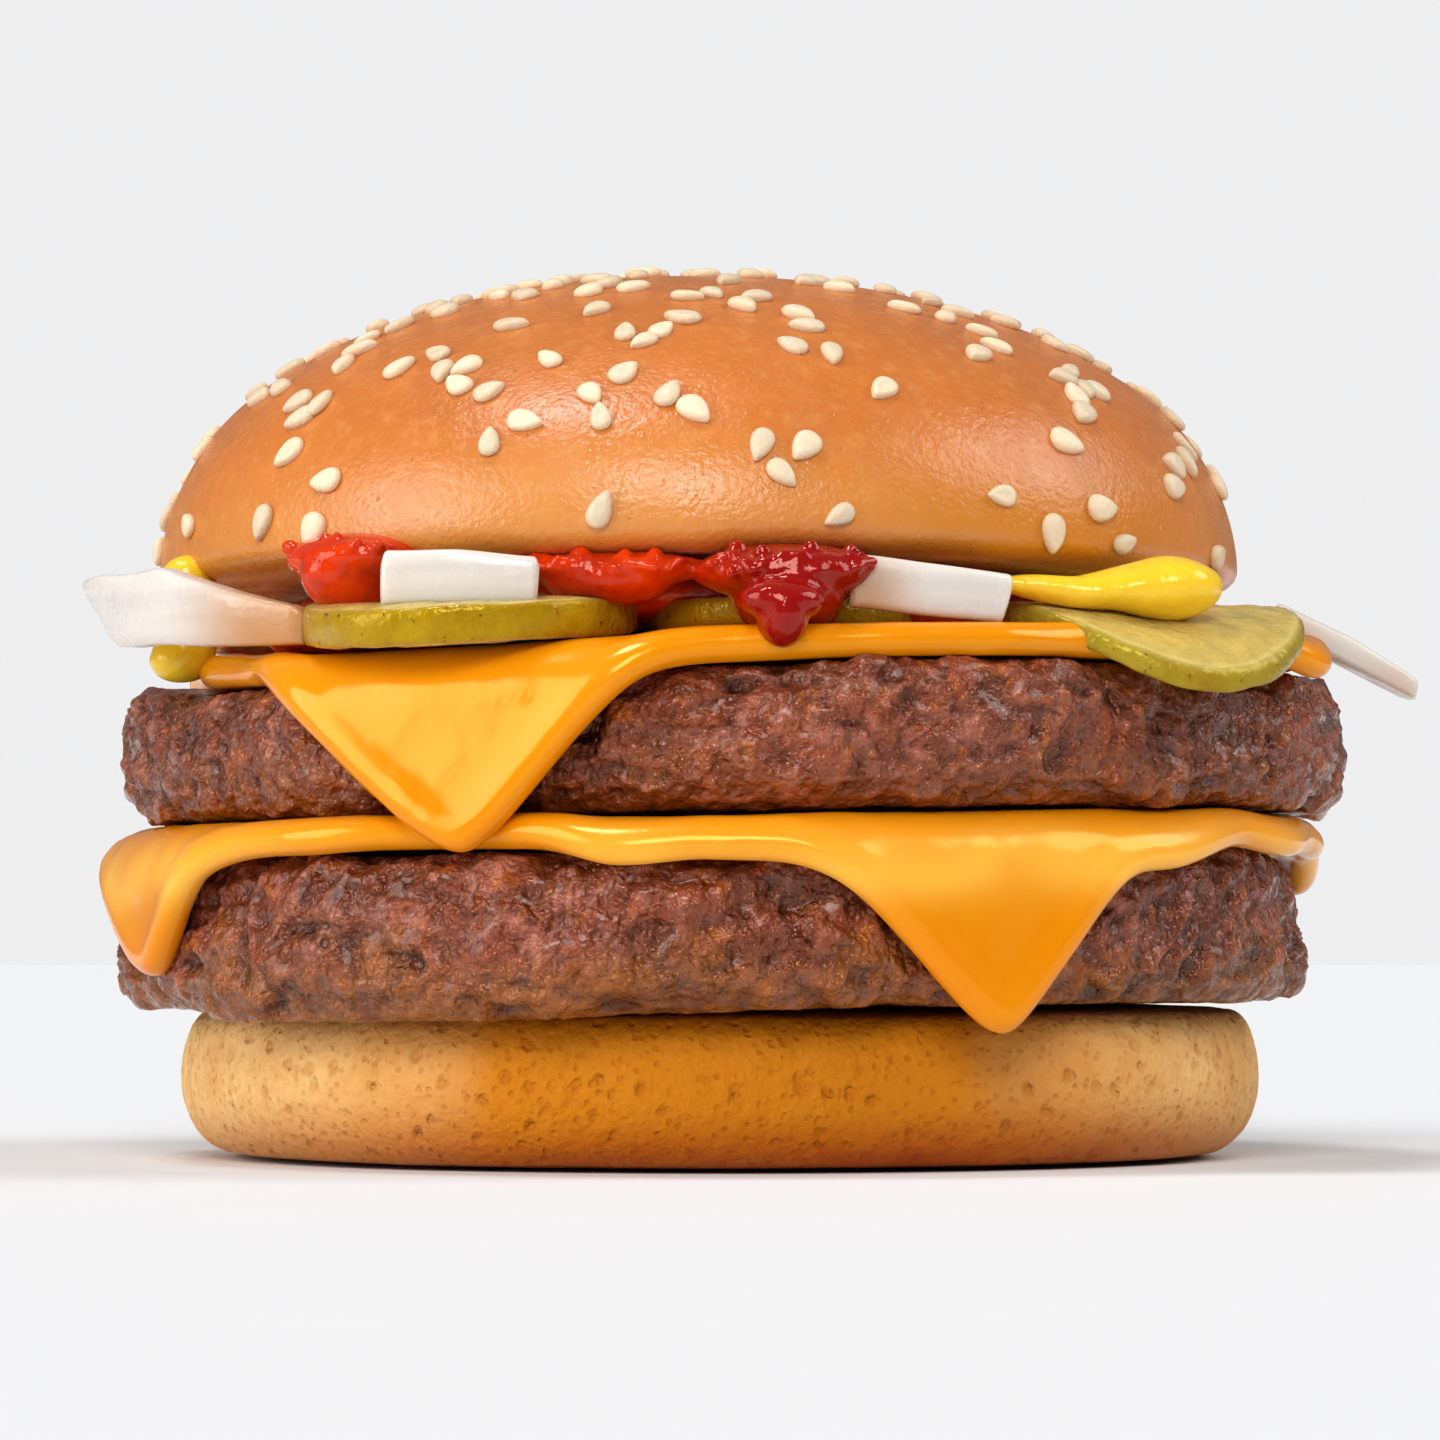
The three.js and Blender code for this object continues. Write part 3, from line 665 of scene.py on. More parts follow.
def crown_material(bun):
    """Shiny golden crust: deepest on top, paler towards the rim, crumb-coloured on the cut face."""
    finish = Finish("crown_crust", Subsurface_Weight=0.06, Subsurface_Scale=0.002, Specular_IOR_Level=0.55)
    nodes = finish.nodes
    top = finish.patches(rgba(bun.crown_color), rgba(bun.crown_color, 0.82), 13.0, 0.5, 0.2)
    side = nodes.mix(nodes.mark("rim"), top, rgba(bun.rim_color))
    mottled = nodes.mix(0.35, side, finish.patches(side, rgba(FINE_CRUST), 1.6, 0.4, 0.1))
    specks = finish.group("Pores", Size=1.5, Width=0.14, Share=0.35)
    dark = nodes.math("MULTIPLY", specks["Mask"], 0.45)
    speckled = nodes.mix(dark, mottled, rgba(bun.crown_color, 0.35))
    smeared = nodes.mix(nodes.mark("smear"), speckled, rgba(GOLD_SMEAR))
    finish.feed("Base Color", nodes.mix(nodes.mark("cut"), smeared, rgba(bun.crumb_color)))
    finish.moist(0.24, 0.36, 5.0)
    pits = finish.group("Pores", Size=0.8, Width=0.35, Share=0.5)["Height"]
    finish.bumps((finish.grain(0.62, 3.0), 0.035), (pits, 0.025), (specks["Height"], 0.08))
    return finish.material


# Painted shade: the brown laid round each seed's edge, where it meets the crust
SEED_EDGE = (0.62, 0.33, 0.13)


def seed_material(bun):
    """Hulled sesame: ivory, each seed with its own tone, and browner towards its edge as painted shade where
    it meets the crust.
    """
    finish = Finish("sesame", Subsurface_Weight=0.25, Subsurface_Scale=0.001, Roughness=0.4,
                    Specular_IOR_Level=0.35)
    nodes = finish.nodes
    own = nodes.mix(nodes.mark("tone"), rgba(bun.seed_color), rgba(bun.seed_color, 0.76))
    # Painted shade darkens each seed towards its edge
    browned = nodes.math("MULTIPLY", nodes.mark("edge"), 0.3)
    finish.feed("Base Color", nodes.mix(browned, own, rgba(SEED_EDGE)))
    finish.bumps((finish.grain(0.5, 2.0), 0.03))
    return finish.material


# Painted shade: the darker tint laid inside the heel's pores
PORE_TINT = (0.86, 0.66, 0.38)


def heel_material(bun):
    """Matt pale crust with open pores, their insides painted darker as shade. It is gold on the front as
    painted shade and pale crumb at the sides as painted light, over a random baked tone, and toasted along
    the foot, which also paints the shade near the floor.
    """
    finish = Finish("heel_crust", Subsurface_Weight=0.06, Subsurface_Scale=0.002, Specular_IOR_Level=0.3,
                    Specular_Tint=(1.0, 0.7, 0.35, 1.0))
    nodes = finish.nodes
    # Painted light and shade: pale crumb at the left and right sides, deeper gold on the front, over a
    # random baked tone
    baked = nodes.mix(nodes.mark("gold"), rgba(bun.crumb_color), rgba(bun.heel_color))
    # Toasted towards the foot, which is also painted shade near the floor
    toasted = nodes.mix(nodes.mark("toast"), baked, rgba(bun.toast_color))
    mixed = nodes.mix(0.4, toasted, finish.patches(toasted, rgba(bun.heel_color), 2.4, 0.42, 0.12))
    pores = finish.group("Pores", Size=2.0, Width=0.4, Share=0.6)
    small = finish.group("Pores", Size=1.0, Width=0.4, Share=0.8)
    depth = nodes.math("MAXIMUM", pores["Mask"], nodes.math("MULTIPLY", small["Mask"], 0.8))
    # Painted shade inside the pores
    darker = nodes.mix(1.0, mixed, rgba(PORE_TINT), "MULTIPLY")
    finish.feed("Base Color", nodes.mix(nodes.math("MULTIPLY", depth, 0.7), mixed, darker))
    finish.moist(0.55, 0.75, 5.0)
    finish.bumps((finish.grain(0.7, 4.0), 0.08), (pores["Height"], 0.3), (small["Height"], 0.14))
    return finish.material


PINK_MEAT = (0.38, 0.13, 0.085)
RUSTY_MEAT = (0.42, 0.105, 0.008)
FAT = (0.5, 0.22, 0.09)


def beef_material(beef):
    """Wet griddled mince: dark in the cracks as painted shade, brown on the lumps, with rusty, pinkish and
    charred places.
    """
    finish = Finish("beef", Specular_IOR_Level=0.9, Specular_Tint=(1.0, 0.4, 0.26, 1.0), Coat_Roughness=0.05,
                    Coat_IOR=1.45)
    nodes = finish.nodes
    brown = finish.patches(rgba(beef.meat_color), rgba(beef.meat_color, 0.4), 6.0, 0.5, 0.14)
    pink = finish.patches(brown, rgba(PINK_MEAT), 2.6, 0.42, 0.1, 3.0)
    rusty = finish.patches(pink, rgba(RUSTY_MEAT), 2.4, 0.38, 0.07, 7.0)
    glazed = nodes.mix(nodes.mark("glaze"), rusty, rgba(beef.glaze_color))
    fatty = finish.patches(glazed, rgba(FAT), 0.9, 0.3, 0.05, 9.0)
    charred = finish.patches(fatty, rgba(beef.meat_color, 0.28), 3.2, 0.4, 0.12, 11.0)
    # Painted shade: the low places of the relief are darkened towards the crack colour
    cracks = nodes.ranged(nodes.mark("relief"), 0.12, 0.6, 1.0, 0.0)
    finish.feed("Base Color", nodes.mix(cracks, charred, rgba(beef.char_color)))
    finish.moist(0.07, 0.32, 2.5)
    wet = finish.group("Moisture", Size=2.2)["Mask"]
    finish.feed("Coat Weight", nodes.math("MULTIPLY", wet, 0.5))
    finish.bumps((finish.grain(2.0, 2.0), 0.45), (finish.grain(0.7, 2.0), 0.15))
    return finish.material


# Deeper orange further down the hanging flaps
FLOWED_CHEESE = (0.82, 0.22, 0.0002)


def cheese_material(cheese):
    """Warm glossy processed cheese, with a painted sheen that makes it paler in a band past the bend over
    the meat, and deeper orange further down the flaps.
    """
    finish = Finish("cheese", Subsurface_Weight=0.15, Subsurface_Scale=0.003, Specular_IOR_Level=0.75,
                    Subsurface_Radius=(1.0, 0.3, 0.02), Specular_Tint=(1.0, 0.8, 0.22, 1.0))
    nodes = finish.nodes
    tone = finish.patches(rgba(cheese.cheese_color), rgba(cheese.cheese_color, 0.94), 12.0, 0.5, 0.25)
    flowed = nodes.mix(nodes.math("MULTIPLY", nodes.mark("deep"), 0.5), tone, rgba(FLOWED_CHEESE))
    # Painted sheen: paler in a band past the bend
    finish.feed("Base Color", nodes.mix(nodes.mark("pale"), flowed, rgba(cheese.pale_color)))
    finish.moist(0.14, 0.22, 7.0)
    finish.bumps((finish.grain(5.0, 1.0), 0.045), (finish.grain(1.2, 2.0), 0.006))
    return finish.material


BROWN_SKIN = (0.24, 0.11, 0.001)
SKIN_SPECKS = (0.08, 0.03, 0.001)
PICKLE_EDGE = (0.72, 0.6, 0.22)


def pickle_material(pickle):
    """Pickled cucumber: wet olive skin with brown specks, a thin pale edge and slightly clear flesh."""
    finish = Finish("pickle", Subsurface_Weight=0.2, Subsurface_Scale=0.002, Specular_IOR_Level=0.55,
                    Specular_Tint=(1.0, 0.8, 0.16, 1.0))
    nodes = finish.nodes
    flesh = finish.patches(rgba(pickle.flesh_color), rgba(pickle.flesh_color, 0.72), 2.4, 0.5, 0.2)
    side = nodes.mix(nodes.mark("green"), rgba(pickle.skin_color), rgba(pickle.green_color))
    skin = finish.patches(side, rgba(BROWN_SKIN), 4.0, 0.38, 0.2)
    spotted = finish.patches(skin, rgba(SKIN_SPECKS), 1.0, 0.35, 0.03, 5.0)
    walled = nodes.mix(nodes.mark("skin"), flesh, spotted)
    finish.feed("Base Color", nodes.mix(nodes.mark("edge"), walled, rgba(PICKLE_EDGE)))
    finish.moist(0.12, 0.32, 2.0)
    finish.bumps((finish.grain(1.6, 3.0), 0.1))
    return finish.material


# Partly the onion's clearness and partly painted shade, laid towards the bottom and some ends of a sliver
CLEAR_ONION = (0.5, 0.24, 0.08)


def onion_material(onion):
    """Raw onion: wet, white and a little clear, with faint veins along the sliver, and browner towards its
    bottom and some ends, partly its clearness and partly painted shade.
    """
    finish = Finish("onion", Subsurface_Weight=0.6, Subsurface_Scale=0.004, Specular_IOR_Level=0.5,
                    Subsurface_Radius=(1.0, 0.75, 0.55))
    nodes = finish.nodes
    sheet = nodes.add("ShaderNodeAttribute", attribute_name="sheet").outputs["Vector"]
    across = nodes.vector("MULTIPLY", sheet, (0.07, 0.6, 1.0))
    veins = nodes.add("ShaderNodeTexNoise", {"Vector": across, "Scale": 1.2, "Detail": 2.0}).outputs["Fac"]
    veined = nodes.mix(nodes.ranged(veins, 0.4, 0.62), rgba(onion.onion_color), rgba(onion.vein_color))
    # Painted shade, with some clearness, browns the sliver towards its bottom and some ends
    finish.feed("Base Color", nodes.mix(nodes.mark("clear"), veined, rgba(CLEAR_ONION)))
    finish.moist(0.15, 0.32, 2.5)
    finish.bumps((veins, 0.06), (finish.grain(1.0, 2.0), 0.02))
    return finish.material


def sauce_material(name, color, deep, tint, roughness, weight, radius):
    """A glossy sauce, deeper-coloured in patches and where its mesh is marked as deep."""
    finish = Finish(name, Subsurface_Weight=weight, Subsurface_Scale=0.002, Subsurface_Radius=radius,
                    Specular_IOR_Level=0.6, Specular_Tint=rgba(tint))
    nodes = finish.nodes
    tone = finish.patches(rgba(color), rgba(deep), 4.5, 0.42, 0.2)
    finish.feed("Base Color", nodes.mix(nodes.mark("deep"), tone, rgba(deep)))
    finish.moist(roughness, roughness + 0.1, 2.0)
    finish.bumps((finish.grain(1.2, 2.0), 0.04))
    return finish.material


def floor_material(color):
    """A plain pale table with the faintest cloud in it."""
    finish = Finish("floor", Roughness=0.7, Specular_IOR_Level=0.3)
    finish.feed("Base Color", finish.patches(rgba(color), rgba(color, 0.985), 60.0, 0.5, 0.15))
    return finish.material


# Pieces

# Distance from the axis and height of the corners of the heel's outline
HEEL_OUTLINE = (
    (0, 0), (45, 0), (48.6, 1.4), (50.6, 5),
    (50.7, 9.4), (49.6, 13.2), (47.2, HEEL_HEIGHT), (0, HEEL_HEIGHT),
)
HEEL_STEPS = 240
HEEL_AROUND = 720
HEEL_SIDE = 43


def make_heel(bun):
    """The plain bottom half of the bun."""
    outline = even_path(HEEL_OUTLINE, HEEL_STEPS)
    # Few rings on the flat foot and top, and many on the side
    kept = (outline[:, 0] > HEEL_SIDE) | (np.arange(HEEL_STEPS) % 12 == 0)
    outline = outline[kept & (outline[:, 0] > 2)]
    azimuth = azimuths(HEEL_AROUND)
    r, z = outline[:, :1], outline[:, 1:]
    rings = round_axis(r * (1 + 0.008 * unevenness(azimuth, 4.2)), azimuth, z)
    side = smooth(40, 47, r) * smooth(0, 1.2, z)
    relief = 0.18 * noise(rings, 13, 21) + 0.1 * noise(rings, 4, 22) - 0.12 * crumbs(rings, 1.3, 23, 0.3)
    rings = swollen(rings, relief * side)
    # Painted light and shade: the gold is deepest on the front and falls to pale crumb at the left and right
    # sides, over a random baked tone
    front = bump(azimuth, 8, 48)
    cloud = noise(rings, 9, 24)
    gold = np.clip(0.2 + 0.85 * front + 0.2 * unevenness(azimuth, 1.3) + 0.25 * cloud, 0, 1)
    # Toasted towards the foot and on the flat underside, which is also painted shade low on the heel near
    # the floor, most on the front
    toast = smooth(6.5, 0.5, z + 1.6 * cloud) * (0.35 + 0.65 * bump(azimuth, 14, 60))
    toast = np.clip(toast + smooth(46, 40, r) * (z < 5), 0, 1) * np.ones_like(gold)
    add_skin("heel_bread", rings, heel_material(bun), ["heel"], {"gold": gold, "toast": toast})


CROWN_STEPS = 160
CROWN_AROUND = 400


def crown_rings(azimuth):
    """The crown's skin without relief, from the middle of the cut face over the rim to the top."""
    corner = CROWN_CORNER / BUN_RADIUS
    low = [(0.02, 0), (1 - corner, 0)]
    low += [
        (1 - corner * (1 - math.sin(a)), CROWN_RIM_HEIGHT * (1 - math.cos(a)))
        for a in np.linspace(0.05, math.pi / 2, 20)
    ]
    dome = [(math.cos(a), CROWN_RIM_HEIGHT + CROWN_DOME * math.sin(a)) for a in np.linspace(0.02, 1.55, 120)]
    scale = np.array([[BUN_RADIUS, 1]])
    path = evenly(np.array(low + dome) * scale, CROWN_STEPS) / scale
    share, rise = path[:, :1], path[:, 1:]
    r, z = crown_point(azimuth, share, rise)
    rings = round_axis(r, azimuth, z)
    rings[..., 0] += CROWN_CENTRE_X
    return rings, share, rise


def make_crown(bun):
    """The seeded top half of the bun, without its seeds."""
    azimuth = azimuths(CROWN_AROUND)
    rings, share, rise = crown_rings(azimuth)
    rings = swollen(rings, crown_relief(rings))
    cloud = noise(rings, 10, 31)
    cut = smooth(0.5, 0.05, rise) * smooth(1, 0.93, share) * np.ones_like(cloud)
    rim = np.clip(smooth(13, 1, rise + 2.5 * cloud) * (0.75 - 0.3 * bump(azimuth, 51.566, 34.377)), 0, 1)
    wet = bump(azimuth, 41, 19) * smooth(9.5, 3, rise + 2 * cloud)
    smear = np.clip(0.85 * wet * smooth(-0.5, 0.4, cloud + 0.3), 0, 1)
    marks = {"cut": cut, "rim": rim, "smear": smear}
    add_skin("crown_bread", rings, crown_material(bun), ["crown"], marks)


GOLDEN_ANGLE = math.pi * (3 - math.sqrt(5))
SEED_REACH = 0.985
SEED_LIFT = 0.22
DISHED_SHARE = 0.2
SEED_AROUND = 18
# How far out each ring of a seed is, and on which side: 1 is its top, 0 its edge and -1 its underside
SEED_RINGS = ((0.25, 1), (0.5, 1), (0.7, 1), (0.84, 1), (0.94, 1), (1, 0), (0.9, -1), (0.5, -1))
# The azimuth, and the height as an angle up the dome, of seeds that lie lower, just above the widest part
LOW_SEEDS = (
    (-84, 4), (-68, 7), (-50.8, 5), (-42.6, 2), (-9.6, 3), (14, 2), (32, 7.5), (38, 1), (45, 6.5), (48, 0.5),
    (69, 1), (97, 4), (121, 2), (148, 5), (176, 2), (203, 6), (229, 3), (251, 1),
)


def seed_form(dish):
    """A seed of length, width and thickness 1, hollowed by `dish`, and how near its edge each point is."""
    around = azimuths(SEED_AROUND)[0]
    points, edge = [], []
    for share, side in reversed(SEED_RINGS):
        x = share * np.cos(around)
        y = share * np.sin(around) * (1 - 0.4 * x) * (1 - 0.18 * smooth(0.4, 1, x))
        lift = math.sqrt(max(1 - share**2.7, 0)) - dish * math.exp(-((share / 0.5) ** 2)) * (side > 0)
        points.append(np.stack([x / 2, y / 2, np.full_like(x, side * lift / 2)], -1))
        edge.append(np.full(len(around), smooth(0.7, 1, share)))
    rings = np.array(points)
    poles = np.array([rings[0].mean(0), rings[-1].mean(0)])
    return np.vstack([rings.reshape(-1, 3), poles]), np.concatenate([np.ravel(edge), [0, 0]])


SEED_FACES = skin_faces(len(SEED_RINGS), SEED_AROUND)


def seed_place(i, count):
    """How far out on the crown and at which azimuth seed i lies."""
    share = abs((i + 0.5 + 2.4 * (draw(i, 1) - 0.5)) / count)
    return SEED_REACH * math.sqrt(min(share, 1)), i * GOLDEN_ANGLE + 0.55 * (draw(i, 2) - 0.5)


def on_dome(out, azimuth):
    """The point of the crown's skin at `out` of its radius, and the outward direction there."""
    climb = math.sqrt(1 - out**2)
    r, z = crown_point(azimuth, out, CROWN_RIM_HEIGHT + CROWN_DOME * climb)
    point = np.array([CROWN_CENTRE_X + r * math.sin(azimuth), -r * math.cos(azimuth), float(z)])
    away = np.array([
        out * math.sin(azimuth) / BUN_RADIUS, -out * math.cos(azimuth) / BUN_RADIUS, climb / CROWN_DOME,
    ])
    away = away / np.linalg.norm(away)
    return point + away * crown_relief(point[None])[0], away


def seed_places(bun):
    """Seeds strewn evenly, and more of them that lie close beside one of those."""
    places = [seed_place(i, bun.seed_count) for i in range(bun.seed_count)]
    for i in range(bun.seed_pairs):
        out, azimuth = places[int(draw(i, 11) * bun.seed_count)]
        step = 1.15 * bun.seed_length / (BUN_RADIUS * MM)
        turn = 2 * math.pi * draw(i, 12)
        beside = abs(out + step * math.cos(turn) * math.sqrt(1.05 - out**2))
        places.append((min(beside, SEED_REACH), azimuth + step * math.sin(turn) / max(out, 0.15)))
    return places + [(math.cos(math.radians(up)), math.radians(azimuth)) for azimuth, up in LOW_SEEDS]


def make_seeds(bun):
    """The sesame seeds on the crown, as one joined piece."""
    plump, edge = seed_form(0.04)
    dished = seed_form(0.45)[0]
    points, faces, tones = [], [], []
    for i, (out, azimuth) in enumerate(seed_places(bun)):
        at, away = on_dome(out, azimuth)
        size = 0.88 + 0.24 * draw(i, 3)
        true_size = (bun.seed_length, bun.seed_width * (0.9 + 0.25 * draw(i, 8)), bun.seed_thickness)
        form = (dished if draw(i, 7) < DISHED_SHARE else plump) * [size * side / MM for side in true_size]
        turn = Matrix.Rotation(2 * math.pi * draw(i, 4), 3, "Z")
        lean = Matrix.Rotation(0.3 * (draw(i, 5) - 0.5), 3, "X")
        place = Vector(away).to_track_quat("Z", "X").to_matrix() @ turn @ lean
        placed = form @ np.array(place).T + at + away * SEED_LIFT
        faces += [[k + i * len(form) for k in face] for face in SEED_FACES]
        points.append(placed)
        tones.append(np.full(len(form), draw(i, 6)))
    # The edge mark sets the painted shade round each seed
    marks = {"tone": np.concatenate(tones), "edge": np.tile(edge, len(points))}
    add_piece("sesame_seeds", np.vstack(points), faces, seed_material(bun), ["crown"], marks)


# The shares of the way in from a patty's round edge at which its flat faces have rings
FACE_RINGS = (0.95, 0.8, 0.6, 0.4, 0.25, 0.16, 0.1, 0.06, 0.03)
PATTY_EDGE_STEPS = 58
PATTY_AROUND = 960


def patty_rings(patty, azimuth):
    """A patty's skin without the relief of the mince."""
    half = PATTY_THICKNESS / 2
    angle = np.linspace(-np.pi / 2, np.pi / 2, 600)
    edge = np.abs(np.cos(angle)) ** PATTY_SQUARENESS
    lift = np.sign(angle) * np.abs(np.sin(angle)) ** PATTY_SQUARENESS * half
    side = evenly(np.stack([PATTY_EDGE * edge, lift], 1), PATTY_EDGE_STEPS)
    # A negative first number is a share of the way in
    below = [(-share, -half) for share in FACE_RINGS]
    above = [(-share, half) for share in reversed(FACE_RINGS)]
    path = np.array(below + side.tolist() + above)
    out, up = path[:, :1], path[:, 1:]
    base = patty_rim(patty, azimuth, up / half) - PATTY_EDGE
    r = np.where(out < 0, base * (1 + out), base + out)
    face = np.where(up > 0, patty_sag(patty, azimuth, r, "top"), patty_sag(patty, azimuth, r, "bottom"))
    return round_axis(r, azimuth, patty["z"] + half + up - face * np.abs(up / half)), up / half


def mince(points, seed):
    """The relief of griddled mince in millimetres, and how high each point is on its lump."""
    stretched = points * (1, 1, 1.4)
    wander = np.stack([noise(stretched, 3.6, seed + k) for k in range(3)], -1)
    bent = stretched + 1.4 * wander
    strands = crumbs(bent, 5.5, seed + 4, 0.9)
    bits = crumbs(bent + 0.7 * wander[..., ::-1], 1.9, seed + 5, 0.8)
    ridges = 1 - 2 * np.abs(noise(bent, 2.6, seed + 6))
    wrinkles = 1 - 2 * np.abs(noise(bent, 1.1, seed + 7))
    pits = smooth(0.25, 0.6, noise(bent, 4.2, seed + 8))
    swell = noise(points, 12, seed + 9) + 0.6 * noise(points, 6, seed + 10)
    lumps = 0.5 * (strands - 0.5) + 0.3 * (bits - 0.6)
    relief = swell + lumps + 0.34 * ridges + 0.12 * wrinkles - 0.5 * pits
    height = 0.3 + 0.3 * strands + 0.22 * bits + 0.2 * ridges + 0.12 * wrinkles - 0.2 * pits + 0.1 * swell
    return relief, np.clip(height, 0, 1)


def make_patty(name, beef):
    """One griddled patty."""
    patty = PATTIES[name]
    azimuth = azimuths(PATTY_AROUND)
    rings, level = patty_rings(patty, azimuth)
    relief, height = mince(rings, int(10 * patty["seed"]))
    covered = sum(bump(azimuth, corner[0], 22) for corner in patty["corners"])
    relief = np.minimum(relief * beef.lump_height / MM, lerp(1.3, 0.7, np.clip(covered, 0, 1)))
    edge = smooth(30, 50, from_middle(rings))
    flat = smooth(1.0, 0.93, np.abs(level))
    rings = swollen(rings, relief * edge * (0.25 + 0.75 * flat))
    glaze = smooth(0.1, -0.75, level + 0.45 * noise(rings, 7, 61)) * patty["glaze"]
    rings[..., 0] += patty["x"]
    # The relief mark also sets the painted shade in the cracks
    marks = {"relief": height, "glaze": glaze}
    add_skin(f"{name}_beef", rings, beef_material(beef), [name], marks)


# How far from its middle the rings of a slice start, and how many it has below, on its lip and above
CHEESE_START = 24
CHEESE_BELOW = 12
CHEESE_LIP = 13
CHEESE_ABOVE = 48
CHEESE_AROUND = 640


def cheese_rings(slice_, azimuth):
    """The skin of a slice: its underside outwards, its round lip, and its top side back to the middle."""
    reach = cheese_reach(slice_, azimuth)
    slope = np.gradient(reach[0], azimuth[0])[None, :] / PATTY_RADIUS
    lean = np.minimum(np.hypot(1, slope), 1.45)
    half = CHEESE_THICKNESS / 2
    below = np.linspace(0, 1, CHEESE_BELOW)[:, None]
    lip = np.linspace(-np.pi / 2, np.pi / 2, CHEESE_LIP + 2)[1:-1, None]
    above = np.linspace(1, 0, CHEESE_ABOVE)[:, None]
    end = reach - half * lean
    lip_along = end + half * lean * np.cos(lip)
    along = np.vstack([lerp(CHEESE_START, end, below), lip_along, lerp(CHEESE_START, end, above)])
    up = np.vstack([0 * below, half + half * np.sin(lip), 2 * half + 0 * above]) * np.ones_like(reach)
    # The cut edge has melted into a slightly thicker bead
    from_edge = (reach - along) / lean
    bead = 0.45 * np.exp(-(((from_edge - 2) / 1.5) ** 2)) * smooth(0.6, 1, up / CHEESE_THICKNESS)
    r, z = cheese_point(slice_, azimuth, along, up + bead)
    past = along - (patty_rim(slice_["patty"], azimuth) + CHEESE_CLEAR - CHEESE_BEND)
    return round_axis(r, azimuth, z), past


def make_cheese(name, cheese):
    """One slice of cheese, draped over its patty."""
    slice_ = CHEESES[name]
    rings, past = cheese_rings(slice_, azimuths(CHEESE_AROUND))
    seed = int(10 * slice_["seed"])
    cloud = noise(rings, 9, seed + 2)
    # Painted sheen: a paler band past the bend, where a highlight falls
    pale = slice_["pale"] * np.exp(-(((past - 5.8 - 1.2 * cloud) / 2.4) ** 2)) * smooth(-1, 0, cloud)
    # Deeper orange further down the hanging flaps
    deep = smooth(9, 14, past) * smooth(0.5, -0.3, cloud)
    waves = 0.14 * noise(rings, 11, seed) + 0.04 * noise(rings, 3.5, seed + 1)
    rings = swollen(rings, waves * smooth(20, 45, from_middle(rings)))
    rings[..., 0] += slice_["patty"]["x"]
    add_skin(f"{name}_slice", rings, cheese_material(cheese), [name], {"pale": pale, "deep": deep})


PICKLE_STEPS = 84
PICKLE_AROUND = 144


def make_pickle(name, pickle):
    """One round pickle slice, soft enough to bend on the side that it leans to."""
    form = PICKLES[name]
    half = form["thickness"] / 2
    rim = form["radius"]
    below = [(0.4, -half), (rim - 0.4, -half), (rim, -0.5 * half)]
    above = [(r, -z) for r, z in reversed(below)]
    outline = even_path(below + above, PICKLE_STEPS, 2)
    azimuth = azimuths(PICKLE_AROUND)
    r, z = outline[:, :1], outline[:, 1:]
    wave = 1 + 0.022 * unevenness(azimuth, form["seed"])
    rings = round_axis(r * wave, azimuth, z + 0 * azimuth)
    seed = int(10 * form["seed"])
    dip = smooth(0.75, 0.5, r / rim) * smooth(0.1, 0.3, r / rim)
    relief = 0.16 * noise(rings, 3, seed) + 0.07 * noise(rings, 1.2, seed + 1) - 0.25 * dip
    rings = swollen(rings, relief)
    ones = np.ones_like(relief)
    skin = smooth(rim - 0.5, rim - 0.38, r) * ones
    edge = np.exp(-(((r - rim + 0.6) / 0.16) ** 2)) * ones
    green = form["green"] * ones
    past = np.maximum(-rings[..., 1] / rim, 0)
    rings[..., 2] -= form["droop"] * past**2
    rings[..., 2] += 0.35 * np.sin(2 * azimuth + form["seed"]) * (r / rim) ** 2
    rings = turned(turned(rings, 0, form["tilt"]), 2, form["lean"]) + form["at"]
    marks = {"skin": skin, "edge": edge, "green": green}
    add_skin(f"{name}_slice", rings, pickle_material(pickle), [name], marks)


ONION_STEPS = 70
ONION_AROUND = 48
# How square the section of a sliver is: 1 is an ellipse, and less is squarer
ONION_SQUARENESS = 0.35


